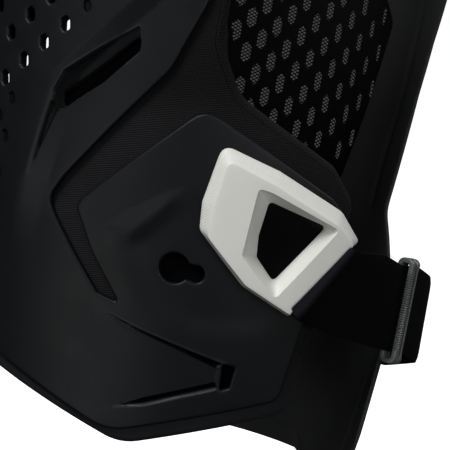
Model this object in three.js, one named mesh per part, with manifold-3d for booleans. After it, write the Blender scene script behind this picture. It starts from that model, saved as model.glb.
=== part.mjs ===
// A chest and back protector for off-road riding, shown as it hangs on a rider.
// Millimetres, +Z up, the chest faces -Y, and +X is the rider's left.
// The origin lies between the undersides of the two shoulder straps.
import * as THREE from 'three';
import Module from 'manifold-3d';

const wasm = await Module();
wasm.setup();
const { Manifold, CrossSection } = wasm;

// The body that the plates follow: one round face in front and one behind.
const CHEST = { radius: 150, y: -115, bulgeZ: -280, leanAbove: 0.00062, leanBelow: 0.0004 };
const BACK = { radius: 165, y: 98, bulgeZ: -130, lean: 0.00045 };

// Depths from each face, positive away from the body.
const SHELL_THICKNESS = 2.5;
const SEAT_GAP = 0.3;
const STRAP_SEAT = 0.7;
const FRONT_PAD = { inner: -9.8, outer: -3 };
const BACK_PAD = { inner: 0, outer: 7, edge: 1.8, taper: 30 };
const BACK_MESH = { inner: 5.7, outer: 6.7 };
const BACK_SHELL = { inner: 7.7, outer: 10.2, ridge: 2.2, ridgeFrom: 52, ridgeTo: 72 };
const STRAP_THICKNESS = 3;
const WEBBING = 38;

// Grid steps of the curved plates.
const STEP_ROUND = 18;
const STEP_UP = 40;

const CHEST_REACH = { sMin: -180, sMax: 180, zMin: -420, zMax: -40 };
const BACK_REACH = { sMin: -150, sMax: 150, zMin: -460, zMax: -20 };

const COLOURS = {
  shell: 0x1b1c1e, textile: 0x16171a, mesh: 0x0d0e0f, backPlate: 0x101112,
  clip: 0xe4e3dc, elastic: 0x0a0a0d, slider: 0x3f4443, webbing: 0x121214, pin: 0x2a2b2c,
};

function material(colour, roughness) {
  return new THREE.MeshStandardMaterial({ color: colour, roughness, metalness: 0 });
}

const MATERIALS = {
  shell: material(COLOURS.shell, 0.5),
  textile: material(COLOURS.textile, 0.95),
  mesh: material(COLOURS.mesh, 0.9),
  backPlate: material(COLOURS.backPlate, 0.55),
  clip: material(COLOURS.clip, 0.55),
  elastic: material(COLOURS.elastic, 0.95),
  slider: material(COLOURS.slider, 0.45),
  webbing: material(COLOURS.webbing, 0.9),
  pin: material(COLOURS.pin, 0.5),
};

// A point of the chest face: s round it, z up it, w out of it.
function chestPoint(s, z, w) {
  const turn = s / CHEST.radius;
  const rise = z - CHEST.bulgeZ;
  const lean = rise > 0 ? CHEST.leanAbove : CHEST.leanBelow;
  const normal = new THREE.Vector3(Math.sin(turn), -Math.cos(turn), Math.cos(turn) * 2 * lean * rise);
  const y = CHEST.y + CHEST.radius * (1 - Math.cos(turn)) + lean * rise * rise;
  const point = new THREE.Vector3(CHEST.radius * Math.sin(turn), y, z);
  return point.addScaledVector(normal.normalize(), w);
}

// A point of the back face, in the same way.
function backPoint(s, z, w) {
  const turn = s / BACK.radius;
  const rise = z - BACK.bulgeZ;
  const normal = new THREE.Vector3(Math.sin(turn), Math.cos(turn), Math.cos(turn) * 2 * BACK.lean * rise);
  const y = BACK.y - BACK.radius * (1 - Math.cos(turn)) - BACK.lean * rise * rise;
  const point = new THREE.Vector3(BACK.radius * Math.sin(turn), y, z);
  return point.addScaledVector(normal.normalize(), w);
}

// Flat work is bent a little before cutting, so that its grid stays whole, and straightened later.
function bend(s, z) {
  return 0.0004 * s * s + 0.0003 * (z + 220) * (z + 220);
}

// One closed slab over a grid of s and z between two depth functions.
function slab(lower, upper, reach) {
  const columns = Math.ceil((reach.sMax - reach.sMin) / STEP_ROUND);
  const rows = Math.ceil((reach.zMax - reach.zMin) / STEP_UP);
  const vertices = [];
  for (const depth of [lower, upper]) {
    for (let j = 0; j <= rows; j += 1) {
      for (let i = 0; i <= columns; i += 1) {
        const s = reach.sMin + ((reach.sMax - reach.sMin) * i) / columns;
        const z = reach.zMin + ((reach.zMax - reach.zMin) * j) / rows;
        vertices.push(s, z, depth(s, z) + bend(s, z));
      }
    }
  }
  const layer = (columns + 1) * (rows + 1);
  const at = (i, j, top) => j * (columns + 1) + i + (top ? layer : 0);
  const triangles = [];
  const quad = (a, b, c, d) => triangles.push(a, b, c, a, c, d);
  for (let j = 0; j < rows; j += 1) {
    for (let i = 0; i < columns; i += 1) {
      quad(at(i, j, true), at(i + 1, j, true), at(i + 1, j + 1, true), at(i, j + 1, true));
      quad(at(i, j, false), at(i, j + 1, false), at(i + 1, j + 1, false), at(i + 1, j, false));
    }
  }
  for (let i = 0; i < columns; i += 1) {
    quad(at(i, 0, false), at(i + 1, 0, false), at(i + 1, 0, true), at(i, 0, true));
    quad(at(i + 1, rows, false), at(i, rows, false), at(i, rows, true), at(i + 1, rows, true));
  }
  for (let j = 0; j < rows; j += 1) {
    quad(at(0, j + 1, false), at(0, j, false), at(0, j, true), at(0, j + 1, true));
    quad(at(columns, j, false), at(columns, j + 1, false), at(columns, j + 1, true), at(columns, j, true));
  }
  const mesh = new wasm.Mesh({
    numProp: 3,
    vertProperties: new Float32Array(vertices),
    triVerts: new Uint32Array(triangles),
  });
  return new Manifold(mesh);
}

// The corners of a table of s, z and corner radius become a rounded outline.
function rounded(corners) {
  const outline = [];
  corners.forEach((corner, index) => {
    const before = corners[(index + corners.length - 1) % corners.length];
    const after = corners[(index + 1) % corners.length];
    const here = new THREE.Vector2(corner[0], corner[1]);
    const inward = new THREE.Vector2(before[0], before[1]).sub(here);
    const outward = new THREE.Vector2(after[0], after[1]).sub(here);
    const room = 0.45 * Math.min(inward.length(), outward.length());
    inward.normalize();
    outward.normalize();
    const half = Math.acos(THREE.MathUtils.clamp(inward.dot(outward), -1, 1)) / 2;
    const cut = Math.min(corner[2] / Math.tan(half), room);
    if (cut < 0.2) {
      outline.push([here.x, here.y]);
      return;
    }
    const pieces = Math.min(Math.ceil(corner[2] / 6), 3);
    for (let k = 0; k <= pieces; k += 1) {
      const t = k / pieces;
      const a = here.clone().addScaledVector(inward, cut * (1 - t) * (1 - t));
      a.addScaledVector(outward, cut * t * t);
      outline.push([a.x, a.y]);
    }
  });
  return outline;
}

// A right half from bottom centre to top centre is closed with its mirror image.
function mirrored(half) {
  const left = half.filter((corner) => corner[0] > 0).map((corner) => [-corner[0], corner[1], corner[2]]);
  return [...half, ...left.reverse()];
}

function flipped(corners) {
  return corners.map((corner) => [-corner[0], corner[1], corner[2]]).reverse();
}

function bothSides(corners) {
  return [rounded(corners), rounded(flipped(corners))];
}

const TALL = 400;

function prism(outlines, from = -TALL, to = TALL) {
  return new CrossSection(outlines, 'Positive').extrude(to - from).translate([0, 0, from]);
}

// Solid with its bend taken out and wrapped onto a face of the body.
function wrapped(solid, place, flips) {
  const mesh = solid.getMesh();
  const positions = new Float32Array(mesh.numVert * 3);
  for (let v = 0; v < mesh.numVert; v += 1) {
    const s = mesh.vertProperties[v * mesh.numProp];
    const z = mesh.vertProperties[v * mesh.numProp + 1];
    const w = mesh.vertProperties[v * mesh.numProp + 2] - bend(s, z);
    place(s, z, w).toArray(positions, v * 3);
  }
  const index = Array.from(mesh.triVerts);
  if (flips) {
    for (let t = 0; t < index.length; t += 3) {
      [index[t + 1], index[t + 2]] = [index[t + 2], index[t + 1]];
    }
  }
  const geometry = new THREE.BufferGeometry();
  geometry.setAttribute('position', new THREE.BufferAttribute(positions, 3));
  geometry.setIndex(index);
  return geometry;
}

const level = (depth) => () => depth;

function smooth(value, from, to) {
  const t = THREE.MathUtils.clamp((value - from) / (to - from), 0, 1);
  return t * t * (3 - 2 * t);
}

// Tables of corners: s, z, corner radius.
const FRONT_SHELL_OUTLINE = mirrored([
  [0, -364, 20], [72, -396, 26], [146, -374, 9], [155, -338, 8], [168, -291, 7],
  [162, -285, 6], [125, -264, 6], [103, -252, 11], [53, -297, 5], [51, -301, 4],
  [60, -319, 6], [74, -339, 1], [64, -336, 1], [53, -322, 6], [44, -310, 8],
  [37, -300, 8], [44, -289, 8], [86, -238, 22], [98, -207, 22], [97, -150, 30],
  [92, -100, 20], [86, -78, 9], [50, -74, 12], [0, -104, 30],
]);
const FRONT_PAD_OUTLINE = mirrored([
  [0, -370, 20], [78, -402, 26], [152, -379, 13], [161, -341, 12], [174, -287, 11],
  [163, -272, 12], [117, -246, 20], [106, -225, 16], [106, -150, 30], [101, -90, 20],
  [95, -48, 12], [46, -46, 12], [0, -92, 30],
]);
const BACK_PAD_OUTLINE = mirrored([
  [0, -422, 4], [56, -420, 5], [80, -434, 12], [116, -416, 12], [134, -398, 16],
  [139, -352, 10], [103, -319, 12], [85, -301, 10], [96, -245, 20], [104, -220, 16],
  [124, -180, 24], [128, -140, 24], [118, -90, 24], [97, -34, 12], [46, -32, 12], [0, -60, 30],
]);
const BACK_SHELL_OUTLINE = mirrored([
  [0, -404, 8], [52, -402, 10], [68, -414, 12], [80, -396, 12], [82, -360, 16],
  [60, -314, 12], [58, -290, 12], [70, -240, 20], [80, -190, 20], [82, -140, 24],
  [78, -92, 20], [72, -66, 12], [46, -64, 12], [0, -88, 30],
]);
const WINDOW_OUTLINE = mirrored([
  [0, -312, 14], [36, -300, 12], [47, -260, 20], [57, -216, 6], [42, -198, 10],
  [46, -140, 16], [30, -112, 14], [0, -104, 20],
]);
const MESH_MARGIN = 0.4;

// The scoop vent, its open mouth and its tail.
const SCOOP = [
  [70, -221, 1], [72, -231, 2], [57, -246, 3], [37, -264, 3], [35, -253, 4], [39, -244, 5], [53, -233, 5],
];
const SCOOP_MOUTH = [
  [71, -226, 1], [71, -232, 1], [57, -247, 2], [40, -260, 2], [40, -254, 2], [56, -240, 2],
];
const SCOOP_TAIL = [[38, -262, 1], [27, -292, 1], [35, -256, 1]];
// The arrow-shaped grooves of the wing and the open notch where they meet.
const ARROW_UPPER = [
  [58, -341, 1], [72, -347, 1], [100, -357.5, 1], [118, -363, 1], [119, -359, 1],
  [100, -353, 1], [72, -343.5, 1],
];
const ARROW_LOWER = [
  [75, -384, 1], [88, -378, 1], [118, -367.5, 1], [119, -371, 1], [101, -377, 1], [88, -382, 1],
];
const ARROW_NOTCH = [[118, -359, 1], [126, -361, 1], [124, -370, 1], [118, -372, 1]];
const KEYHOLE = { s: 97, z: -321, wide: 6.4, smallS: 106.3, smallZ: -322.5, narrow: 3.6 };
const KEYHOLE_POCKET = { outward: 3, radius: 11, floor: -7.5 };
const PIN_HOLE = { s: 117, z: -291, radius: 3.7 };
const PIN = { radius: 3.4, inner: -2.4, outer: 3.2 };

const PANEL_DEPTH = 1.6;
// The raised field: half its width at crossZ, how fast that grows above and below, and where it fades out.
const FIELD = {
  height: 2.4, lead: 2, slope: 12, half: 35, crossZ: -245,
  widenAbove: 0.9, widenBelow: 0.2, fadeLow: -330, fadeHigh: -290,
};
// A cutter that opens a hollow outwards reaches this far.
const OPEN_ABOVE = 20;

function circle(s, z, radius, sides) {
  const points = [];
  for (let k = 0; k < sides; k += 1) {
    const turn = (2 * Math.PI * k) / sides;
    points.push([s + radius * Math.cos(turn), z + radius * Math.sin(turn)]);
  }
  return points;
}

// The raised centre field falls off along a crease that runs down to the middle.
function fieldEdge(z) {
  const rise = z - FIELD.crossZ;
  return FIELD.half + rise * (rise > 0 ? FIELD.widenAbove : FIELD.widenBelow);
}

function chestRelief(s, z) {
  const edge = fieldEdge(z);
  const raised = FIELD.height * (1 - smooth(Math.abs(s), edge - FIELD.lead, edge + FIELD.slope));
  return raised * smooth(z, FIELD.fadeLow, FIELD.fadeHigh);
}

// Slanted six-sided holes on a staggered lattice.
const HOLE = { width: 4.6, height: 6.6, lean: 0.6, stepS: 9.2, stepZ: 19.4, rise: 8.9, z0: -241 };
const HOLE_ROWS = { low: -256, high: -180, margin: 15, columns: 6 };

function slantedHole(s, z, width, height, lean) {
  const a = width / 2;
  const b = height / 2;
  return [
    [s - a + lean, z - b * 0.45], [s - a * 0.2 + lean, z - b], [s + a, z - b * 0.55],
    [s + a - lean, z + b * 0.45], [s + a * 0.2 - lean, z + b], [s - a, z + b * 0.55],
  ];
}

function holeCentres() {
  const centres = [];
  for (let column = 0; column <= HOLE_ROWS.columns; column += 1) {
    const s = HOLE.stepS * column;
    for (let row = -8; row <= 8; row += 1) {
      const z = HOLE.z0 + HOLE.rise * column + HOLE.stepZ * row;
      const inside = s < fieldEdge(z) - HOLE_ROWS.margin;
      if (inside && z > HOLE_ROWS.low && z < HOLE_ROWS.high) {
        centres.push([s, z]);
        if (column > 0) {
          centres.push([-s, z]);
        }
      }
    }
  }
  return centres;
}

// The pad is pierced behind the lowest slanted row of the field only.
const PAD_HOLE = { width: 6.6, height: 7.6, inward: 1.6, down: 0.6, firstColumn: 1, lastColumn: 4 };

function padHoleCentres() {
  const centres = [];
  for (let column = PAD_HOLE.firstColumn; column <= PAD_HOLE.lastColumn; column += 1) {
    const s = HOLE.stepS * column - PAD_HOLE.inward;
    const z = HOLE.z0 + HOLE.rise * column - HOLE.stepZ - PAD_HOLE.down;
    centres.push([s, z], [-s, z]);
  }
  return centres;
}

function counterClockwise(points) {
  let area = 0;
  points.forEach((point, index) => {
    const next = points[(index + 1) % points.length];
    area += point[0] * next[1] - next[0] * point[1];
  });
  return area < 0 ? points.slice().reverse() : points;
}

function cutters(list) {
  return prism(list.map(counterClockwise));
}

function frontShell() {
  const inner = (s, z) => chestRelief(s, z) - SHELL_THICKNESS;
  const outline = [counterClockwise(rounded(FRONT_SHELL_OUTLINE))];
  let solid = slab(inner, chestRelief, CHEST_REACH).intersect(prism(outline));
  const centres = holeCentres();
  const through = centres.map(([s, z]) => {
    return slantedHole(s, z, HOLE.width, HOLE.height, s < 0 ? -HOLE.lean : HOLE.lean);
  });
  through.push(...bothSides(SCOOP_MOUTH), ...bothSides(ARROW_NOTCH));
  for (const side of [-1, 1]) {
    through.push(circle(side * PIN_HOLE.s, PIN_HOLE.z, PIN_HOLE.radius, 8));
  }
  solid = solid.subtract(cutters(through));
  for (const side of [-1, 1]) {
    solid = solid.subtract(cutters([circle(side * KEYHOLE.s, KEYHOLE.z, KEYHOLE.wide, 14)]));
    solid = solid.subtract(cutters([circle(side * KEYHOLE.smallS, KEYHOLE.smallZ, KEYHOLE.narrow, 10)]));
  }
  const floor = (s, z) => chestRelief(s, z) - PANEL_DEPTH;
  const above = (s, z) => chestRelief(s, z) + OPEN_ABOVE;
  const hollow = slab(floor, above, CHEST_REACH);
  for (const recess of [SCOOP, SCOOP_TAIL, ARROW_UPPER, ARROW_LOWER]) {
    solid = solid.subtract(hollow.intersect(cutters(bothSides(recess))));
  }
  return wrapped(solid, chestPoint, false);
}

function frontPad() {
  const outline = [counterClockwise(rounded(FRONT_PAD_OUTLINE))];
  let solid = slab(level(FRONT_PAD.inner), level(FRONT_PAD.outer), CHEST_REACH).intersect(prism(outline));
  const holes = padHoleCentres().map(([s, z]) => slantedHole(s, z, PAD_HOLE.width, PAD_HOLE.height, 0));
  solid = solid.subtract(cutters(holes));
  const pocket = slab(level(KEYHOLE_POCKET.floor), level(OPEN_ABOVE), CHEST_REACH);
  for (const side of [-1, 1]) {
    const round = circle(side * (KEYHOLE.s + KEYHOLE_POCKET.outward), KEYHOLE.z, KEYHOLE_POCKET.radius, 12);
    solid = solid.subtract(pocket.intersect(cutters([round])));
  }
  return wrapped(solid, chestPoint, false);
}

// Six-sided slots on a staggered lattice, over the lower part of the back window.
const SLOT = { width: 6.6, height: 12.4, stepS: 7.2, stepZ: 17.5, z0: -250.1, slope: -1.42 };
const SLOT_ROWS = { low: -286, high: -206, margin: 2, columns: 7 };

function slotShape(s, z) {
  const a = SLOT.width / 2;
  const b = SLOT.height / 2;
  return [
    [s - a, z - b * 0.5], [s, z - b], [s + a, z - b * 0.5],
    [s + a, z + b * 0.5], [s, z + b], [s - a, z + b * 0.5],
  ];
}

// Half the width of the window near its widest level.
const WINDOW = { half: 57, widestZ: -216, narrowAbove: -0.8, narrowBelow: 0.25 };

function windowEdge(z) {
  const rise = z - WINDOW.widestZ;
  return WINDOW.half + rise * (rise > 0 ? WINDOW.narrowAbove : WINDOW.narrowBelow);
}

function slotCentres() {
  const centres = [];
  for (let column = -SLOT_ROWS.columns; column <= SLOT_ROWS.columns; column += 1) {
    const s = SLOT.stepS * column;
    const first = SLOT.z0 + SLOT.slope * column;
    for (let row = -4; row <= 4; row += 1) {
      const z = first + SLOT.stepZ * (column % 2 === 0 ? row : row + 0.5);
      const inside = Math.abs(s) < windowEdge(z) - SLOT_ROWS.margin;
      if (inside && z > SLOT_ROWS.low && z < SLOT_ROWS.high) {
        centres.push([s, z]);
      }
    }
  }
  return centres;
}

// The plate is thicker along its middle.
function backShellOuter(s) {
  const thin = smooth(Math.abs(s), BACK_SHELL.ridgeFrom, BACK_SHELL.ridgeTo);
  return BACK_SHELL.outer + BACK_SHELL.ridge * (1 - thin);
}

function backShell() {
  const outline = [counterClockwise(rounded(BACK_SHELL_OUTLINE))];
  let solid = slab(level(BACK_SHELL.inner), backShellOuter, BACK_REACH).intersect(prism(outline));
  solid = solid.subtract(cutters(slotCentres().map(([s, z]) => slotShape(s, z))));
  return wrapped(solid, backPoint, true);
}

// Half the width of the back pad: z, s.
const BACK_PAD_EDGE = [
  [-440, 120], [-398, 134], [-352, 138], [-318, 103], [-301, 88],
  [-245, 96], [-220, 104], [-180, 123], [-140, 127], [-90, 117], [-40, 98],
];

function backPadEdge(z) {
  const last = BACK_PAD_EDGE.length - 1;
  if (z <= BACK_PAD_EDGE[0][0]) {
    return BACK_PAD_EDGE[0][1];
  }
  const next = BACK_PAD_EDGE.findIndex((row) => row[0] > z);
  if (next < 0) {
    return BACK_PAD_EDGE[last][1];
  }
  const [zLow, sLow] = BACK_PAD_EDGE[next - 1];
  const [zHigh, sHigh] = BACK_PAD_EDGE[next];
  return THREE.MathUtils.mapLinear(z, zLow, zHigh, sLow, sHigh);
}

// The pad thins out towards its sides.
function backPadOuter(s, z) {
  const edge = backPadEdge(z);
  const thin = smooth(Math.abs(s), edge - BACK_PAD.taper, edge);
  return BACK_PAD.outer + (BACK_PAD.edge - BACK_PAD.outer) * thin;
}

function backPad() {
  const outline = [counterClockwise(rounded(BACK_PAD_OUTLINE))];
  const window = [counterClockwise(rounded(WINDOW_OUTLINE))];
  let solid = slab(level(BACK_PAD.inner), backPadOuter, BACK_REACH).intersect(prism(outline));
  solid = solid.subtract(prism(window));
  return wrapped(solid, backPoint, true);
}

function backMesh() {
  const window = new CrossSection([counterClockwise(rounded(WINDOW_OUTLINE))], 'Positive');
  const sheet = window.offset(-MESH_MARGIN, 'Miter').extrude(2 * TALL).translate([0, 0, -TALL]);
  const solid = slab(level(BACK_MESH.inner), level(BACK_MESH.outer), BACK_REACH).intersect(sheet);
  return wrapped(solid, backPoint, true);
}

// The side clip: foot and crown outlines, s and z, then its drafted window and its strap pocket.
const CLIP = { foot: 0.7, rim: 2.6, crown: 8.4, pocket: 4.5, under: -5 };
const CLIP_FOOT = [
  [112, -266, 5], [137, -275, 4], [166, -290, 8], [175, -302, 3], [147, -336, 2],
  [126, -325, 5], [106, -303, 5], [106, -291, 6],
];
const CLIP_CROWN = [
  [115, -272, 3], [135, -280.5, 3], [162, -295, 6], [172, -304, 2], [146, -334, 2],
  [127, -323.5, 4], [112, -305, 4], [111, -292, 4],
];
const CLIP_WINDOW_TOP = [
  [128, -282, 2], [134, -283.5, 2], [163, -297, 2], [139, -328, 2], [124, -311, 2],
];
const CLIP_WINDOW_FOOT = [
  [134, -288, 2], [160, -297, 2], [139, -322, 2], [131, -312, 2], [131, -303, 2],
];
const CLIP_NOTCH = [
  [171.5, -304.5, 0], [168.5, -304, 0], [146, -332, 0], [148, -334.5, 0], [160, -340, 0], [182, -310, 0],
];
const CLIP_STRAP_POCKET = [[160.5, -296.5, 0], [138, -324, 0], [150, -340, 0], [180, -305, 0]];

// A solid between a low and a high outline.
function drafted(lowOutline, low, highOutline, high) {
  const points = [];
  for (const [s, z] of lowOutline) {
    points.push([s, z, low]);
  }
  for (const [s, z] of highOutline) {
    points.push([s, z, high]);
  }
  return Manifold.hull(points);
}

function bent(solid) {
  return solid.warp((vertex) => {
    vertex[2] += bend(vertex[0], vertex[1]);
  });
}

const CLIP_GRID = 19;

function sideClip(side) {
  const foot = rounded(CLIP_FOOT);
  let solid = drafted(foot, CLIP.rim, rounded(CLIP_CROWN), CLIP.crown);
  solid = solid.add(drafted(foot, CLIP.foot, foot, CLIP.rim + 0.01));
  solid = solid.subtract(drafted(rounded(CLIP_WINDOW_FOOT), -1, rounded(CLIP_WINDOW_TOP), CLIP.crown + 0.3));
  solid = solid.subtract(drafted(CLIP_NOTCH, CLIP.under, CLIP_NOTCH, OPEN_ABOVE));
  solid = solid.subtract(drafted(CLIP_STRAP_POCKET, CLIP.under, CLIP_STRAP_POCKET, CLIP.pocket));
  const bore = circle(PIN_HOLE.s, PIN_HOLE.z, PIN_HOLE.radius, 8);
  solid = solid.subtract(drafted(bore, CLIP.under, bore, PIN.outer + SEAT_GAP));
  if (side < 0) {
    solid = solid.mirror([1, 0, 0]);
  }
  return wrapped(bent(solid.refineToLength(CLIP_GRID)), chestPoint, false);
}

function clipPin(side) {
  const round = circle(side * PIN_HOLE.s, PIN_HOLE.z, PIN.radius, 8);
  return wrapped(bent(drafted(round, PIN.inner, round, PIN.outer)), chestPoint, false);
}

// A band runs through cross-sections, each a line from t = 0 to t = 1, with its thickness to both sides.
function band(sections, thickness, across) {
  const rings = sections.map((section, index) => {
    const before = sections[Math.max(index - 1, 0)];
    const after = sections[Math.min(index + 1, sections.length - 1)];
    const points = [];
    for (let k = 0; k <= across; k += 1) {
      const t = k / across;
      const along = after(t).sub(before(t));
      const wide = section(Math.min(t + 0.1, 1)).sub(section(Math.max(t - 0.1, 0)));
      const normal = new THREE.Vector3().crossVectors(along, wide).normalize();
      points.push({ middle: section(t), normal });
    }
    const outside = points.map((p) => p.middle.clone().addScaledVector(p.normal, thickness / 2));
    const inside = points.map((p) => p.middle.clone().addScaledVector(p.normal, -thickness / 2));
    return [...outside, ...inside.reverse()];
  });
  return lofted(rings);
}

// Closed rings of the same count are joined into one body with flat ends.
function lofted(rings) {
  const count = rings[0].length;
  const positions = [];
  rings.forEach((ring) => ring.forEach((point) => positions.push(point.x, point.y, point.z)));
  const index = [];
  for (let r = 0; r + 1 < rings.length; r += 1) {
    for (let k = 0; k < count; k += 1) {
      const a = r * count + k;
      const b = r * count + ((k + 1) % count);
      index.push(a, b, b + count, a, b + count, a + count);
    }
  }
  const last = (rings.length - 1) * count;
  const pairs = count / 2 - 1;
  for (let k = 0; k < pairs; k += 1) {
    const m = count - 1 - k;
    index.push(k, m, m - 1, k, m - 1, k + 1);
    index.push(last + k, last + k + 1, last + m - 1, last + k, last + m - 1, last + m);
  }
  const geometry = new THREE.BufferGeometry();
  geometry.setAttribute('position', new THREE.Float32BufferAttribute(positions, 3));
  geometry.setIndex(index);
  return outward(geometry);
}

// Signed volume tells which way the faces look.
function outward(geometry) {
  const p = geometry.attributes.position;
  const index = geometry.index.array;
  let volume = 0;
  const a = new THREE.Vector3();
  const b = new THREE.Vector3();
  const c = new THREE.Vector3();
  for (let t = 0; t < index.length; t += 3) {
    a.fromBufferAttribute(p, index[t]);
    b.fromBufferAttribute(p, index[t + 1]);
    c.fromBufferAttribute(p, index[t + 2]);
    volume += a.dot(b.cross(c));
  }
  if (volume < 0) {
    for (let t = 0; t < index.length; t += 3) {
      [index[t + 1], index[t + 2]] = [index[t + 2], index[t + 1]];
    }
  }
  return geometry;
}

// The slider: two end rails, one bar outside the strap and one inside it.
const SLIDER = { length: 8.6, rail: 3.2, bar: 4.2, clear: 0.35, depth: 2.4, reach: 2 };
const SLIDER_SEAT = { inward: 10, y: 9.3, z: -333, turn: 4, tilt: -7 };

function sliderSeat() {
  const tilt = new THREE.Matrix4().makeRotationX(THREE.MathUtils.degToRad(SLIDER_SEAT.tilt));
  const turn = new THREE.Matrix4().makeRotationZ(THREE.MathUtils.degToRad(SLIDER_SEAT.turn));
  const seat = new THREE.Matrix4();
  seat.makeTranslation(CHEST.radius - SLIDER_SEAT.inward, SLIDER_SEAT.y, SLIDER_SEAT.z);
  return seat.multiply(tilt).multiply(turn);
}

function sliderBar(size, place) {
  return Manifold.cube(size, true).translate(place);
}

function strapSlider(side) {
  const half = STRAP_THICKNESS / 2 + SLIDER.clear;
  const tall = WEBBING + 2 * (SLIDER.clear + SLIDER.rail);
  const full = 2 * (half + SLIDER.depth);
  const edge = tall / 2 - SLIDER.rail / 2;
  const reach = SLIDER.length / 2 - SLIDER.bar / 2;
  const deep = half + SLIDER.depth / 2;
  let solid = sliderBar([full, SLIDER.length, SLIDER.rail], [0, 0, edge]);
  solid = solid.add(sliderBar([full, SLIDER.length, SLIDER.rail], [0, 0, -edge]));
  solid = solid.add(sliderBar([SLIDER.depth, SLIDER.bar, tall - 1], [deep, -reach, 0]));
  solid = solid.add(sliderBar([SLIDER.depth, SLIDER.bar, tall - 1], [-deep, reach, 0]));
  solid = solid.transform(sliderSeat().elements);
  const mesh = solid.getMesh();
  const geometry = new THREE.BufferGeometry();
  geometry.setAttribute('position', new THREE.BufferAttribute(new Float32Array(mesh.vertProperties), 3));
  geometry.setIndex(Array.from(mesh.triVerts));
  return sided(geometry, side);
}

// The elastic strap: one end follows the chest face under the clip and the other lies on the back pad.
// Inward is measured from the side of the chest, along x.
const STRAP_UNDER_CLIP = [
  // s top, z top, s bottom, z bottom, depth
  [163, -298.5, 140.5, -326.5, 2.3],
  [168, -303.5, 146.0, -332.5, 2.3],
  [175, -306.5, 153.0, -338.0, 2.6],
];
const STRAP_BEFORE_SLIDER = [
  // inward top, y top, z top, inward bottom, y bottom, z bottom
  [9, -8, -308.5, 13.5, -26, -344.5],
];
const STRAP_AFTER_SLIDER = [
  // inward top, y top, z top, inward bottom, y bottom, z bottom
  [13.5, 31, -320, 13.2, 27, -358.5],
  [21, 40, -323.5, 20.5, 36, -361.5],
];
const STRAP_ON_BACK = [
  // s, z top, z bottom, depth
  [112, -328, -366, 8.7],
  [104, -329, -367, 9.3],
  [94, -330, -368, 9.4],
];

function freeSection([inTop, yTop, zTop, inLow, yLow, zLow]) {
  const mix = THREE.MathUtils.lerp;
  const x = (t) => CHEST.radius - mix(inTop, inLow, t);
  return (t) => new THREE.Vector3(x(t), mix(yTop, yLow, t), mix(zTop, zLow, t));
}

function elasticSections() {
  const mix = THREE.MathUtils.lerp;
  const sections = [];
  for (const [sTop, zTop, sLow, zLow, depth] of STRAP_UNDER_CLIP) {
    sections.push((t) => chestPoint(mix(sTop, sLow, t), mix(zTop, zLow, t), depth));
  }
  sections.push(...STRAP_BEFORE_SLIDER.map(freeSection));
  const seat = sliderSeat();
  const beyond = SLIDER.length / 2 + SLIDER.reach;
  for (const offset of [-beyond, 0, beyond]) {
    sections.push((t) => new THREE.Vector3(0, offset, WEBBING * (0.5 - t)).applyMatrix4(seat));
  }
  sections.push(...STRAP_AFTER_SLIDER.map(freeSection));
  for (const [s, zTop, zLow, depth] of STRAP_ON_BACK) {
    sections.push((t) => backPoint(s, mix(zTop, zLow, t), depth));
  }
  return sections;
}

// The right side's copy is the left one with x turned round and its faces put right.
function sided(geometry, side) {
  if (side < 0) {
    geometry.scale(-1, 1, 1);
  }
  return outward(geometry);
}

function sideStrap(side) {
  return sided(band(elasticSections(), STRAP_THICKNESS, 4), side);
}

// The shoulder strap: its ends lie on the pads, and it goes over the shoulder between them.
const SHOULDER = { s: 70, halfWidth: 22, across: 4 };
const SHOULDER_FRONT = [-74, -61, -48];
const SHOULDER_ARCH = [
  // y, z, share of the chest's roundness
  [-59.5, -31, 0.9], [-50, -14, 0.7], [-36, -3.5, 0.4], [-18, 0.8, 0.2], [0, 1.6, 0],
  [24, 0.6, -0.2], [46, -3.5, -0.4], [66, -10, -0.6], [80, -19, -0.85],
];
const SHOULDER_BACK = [-33, -36, -48, -61];

function shoulderRing(place) {
  const outside = [];
  const inside = [];
  for (let k = 0; k <= SHOULDER.across; k += 1) {
    const s = SHOULDER.s - SHOULDER.halfWidth + (2 * SHOULDER.halfWidth * k) / SHOULDER.across;
    outside.push(place(s, STRAP_THICKNESS / 2));
    inside.push(place(s, -STRAP_THICKNESS / 2));
  }
  return [...outside, ...inside.reverse()];
}

function shoulderStrap(side) {
  const rings = [];
  for (const z of SHOULDER_FRONT) {
    const seat = FRONT_PAD.outer + STRAP_SEAT + STRAP_THICKNESS / 2;
    rings.push(shoulderRing((s, w) => chestPoint(s, z, seat + w)));
  }
  SHOULDER_ARCH.forEach(([y, z, share], index) => {
    const before = SHOULDER_ARCH[Math.max(index - 1, 0)];
    const after = SHOULDER_ARCH[Math.min(index + 1, SHOULDER_ARCH.length - 1)];
    const along = new THREE.Vector2(after[0] - before[0], after[1] - before[1]).normalize();
    rings.push(shoulderRing((s, w) => {
      const round = CHEST.radius * (Math.cos(SHOULDER.s / CHEST.radius) - Math.cos(s / CHEST.radius));
      const x = CHEST.radius * Math.sin(s / CHEST.radius);
      return new THREE.Vector3(x, y + share * round - along.y * w, z + along.x * w);
    }));
  });
  for (const z of SHOULDER_BACK) {
    const seat = BACK_PAD.outer + STRAP_SEAT + STRAP_THICKNESS / 2;
    rings.push(shoulderRing((s, w) => backPoint(s, z, seat + w)));
  }
  return sided(lofted(rings), side);
}

const group = new THREE.Group();
group.name = 'roost_deflector';

function addPiece(name, geometry, look) {
  geometry.computeVertexNormals();
  const mesh = new THREE.Mesh(geometry, look);
  mesh.name = name;
  group.add(mesh);
}

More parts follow.
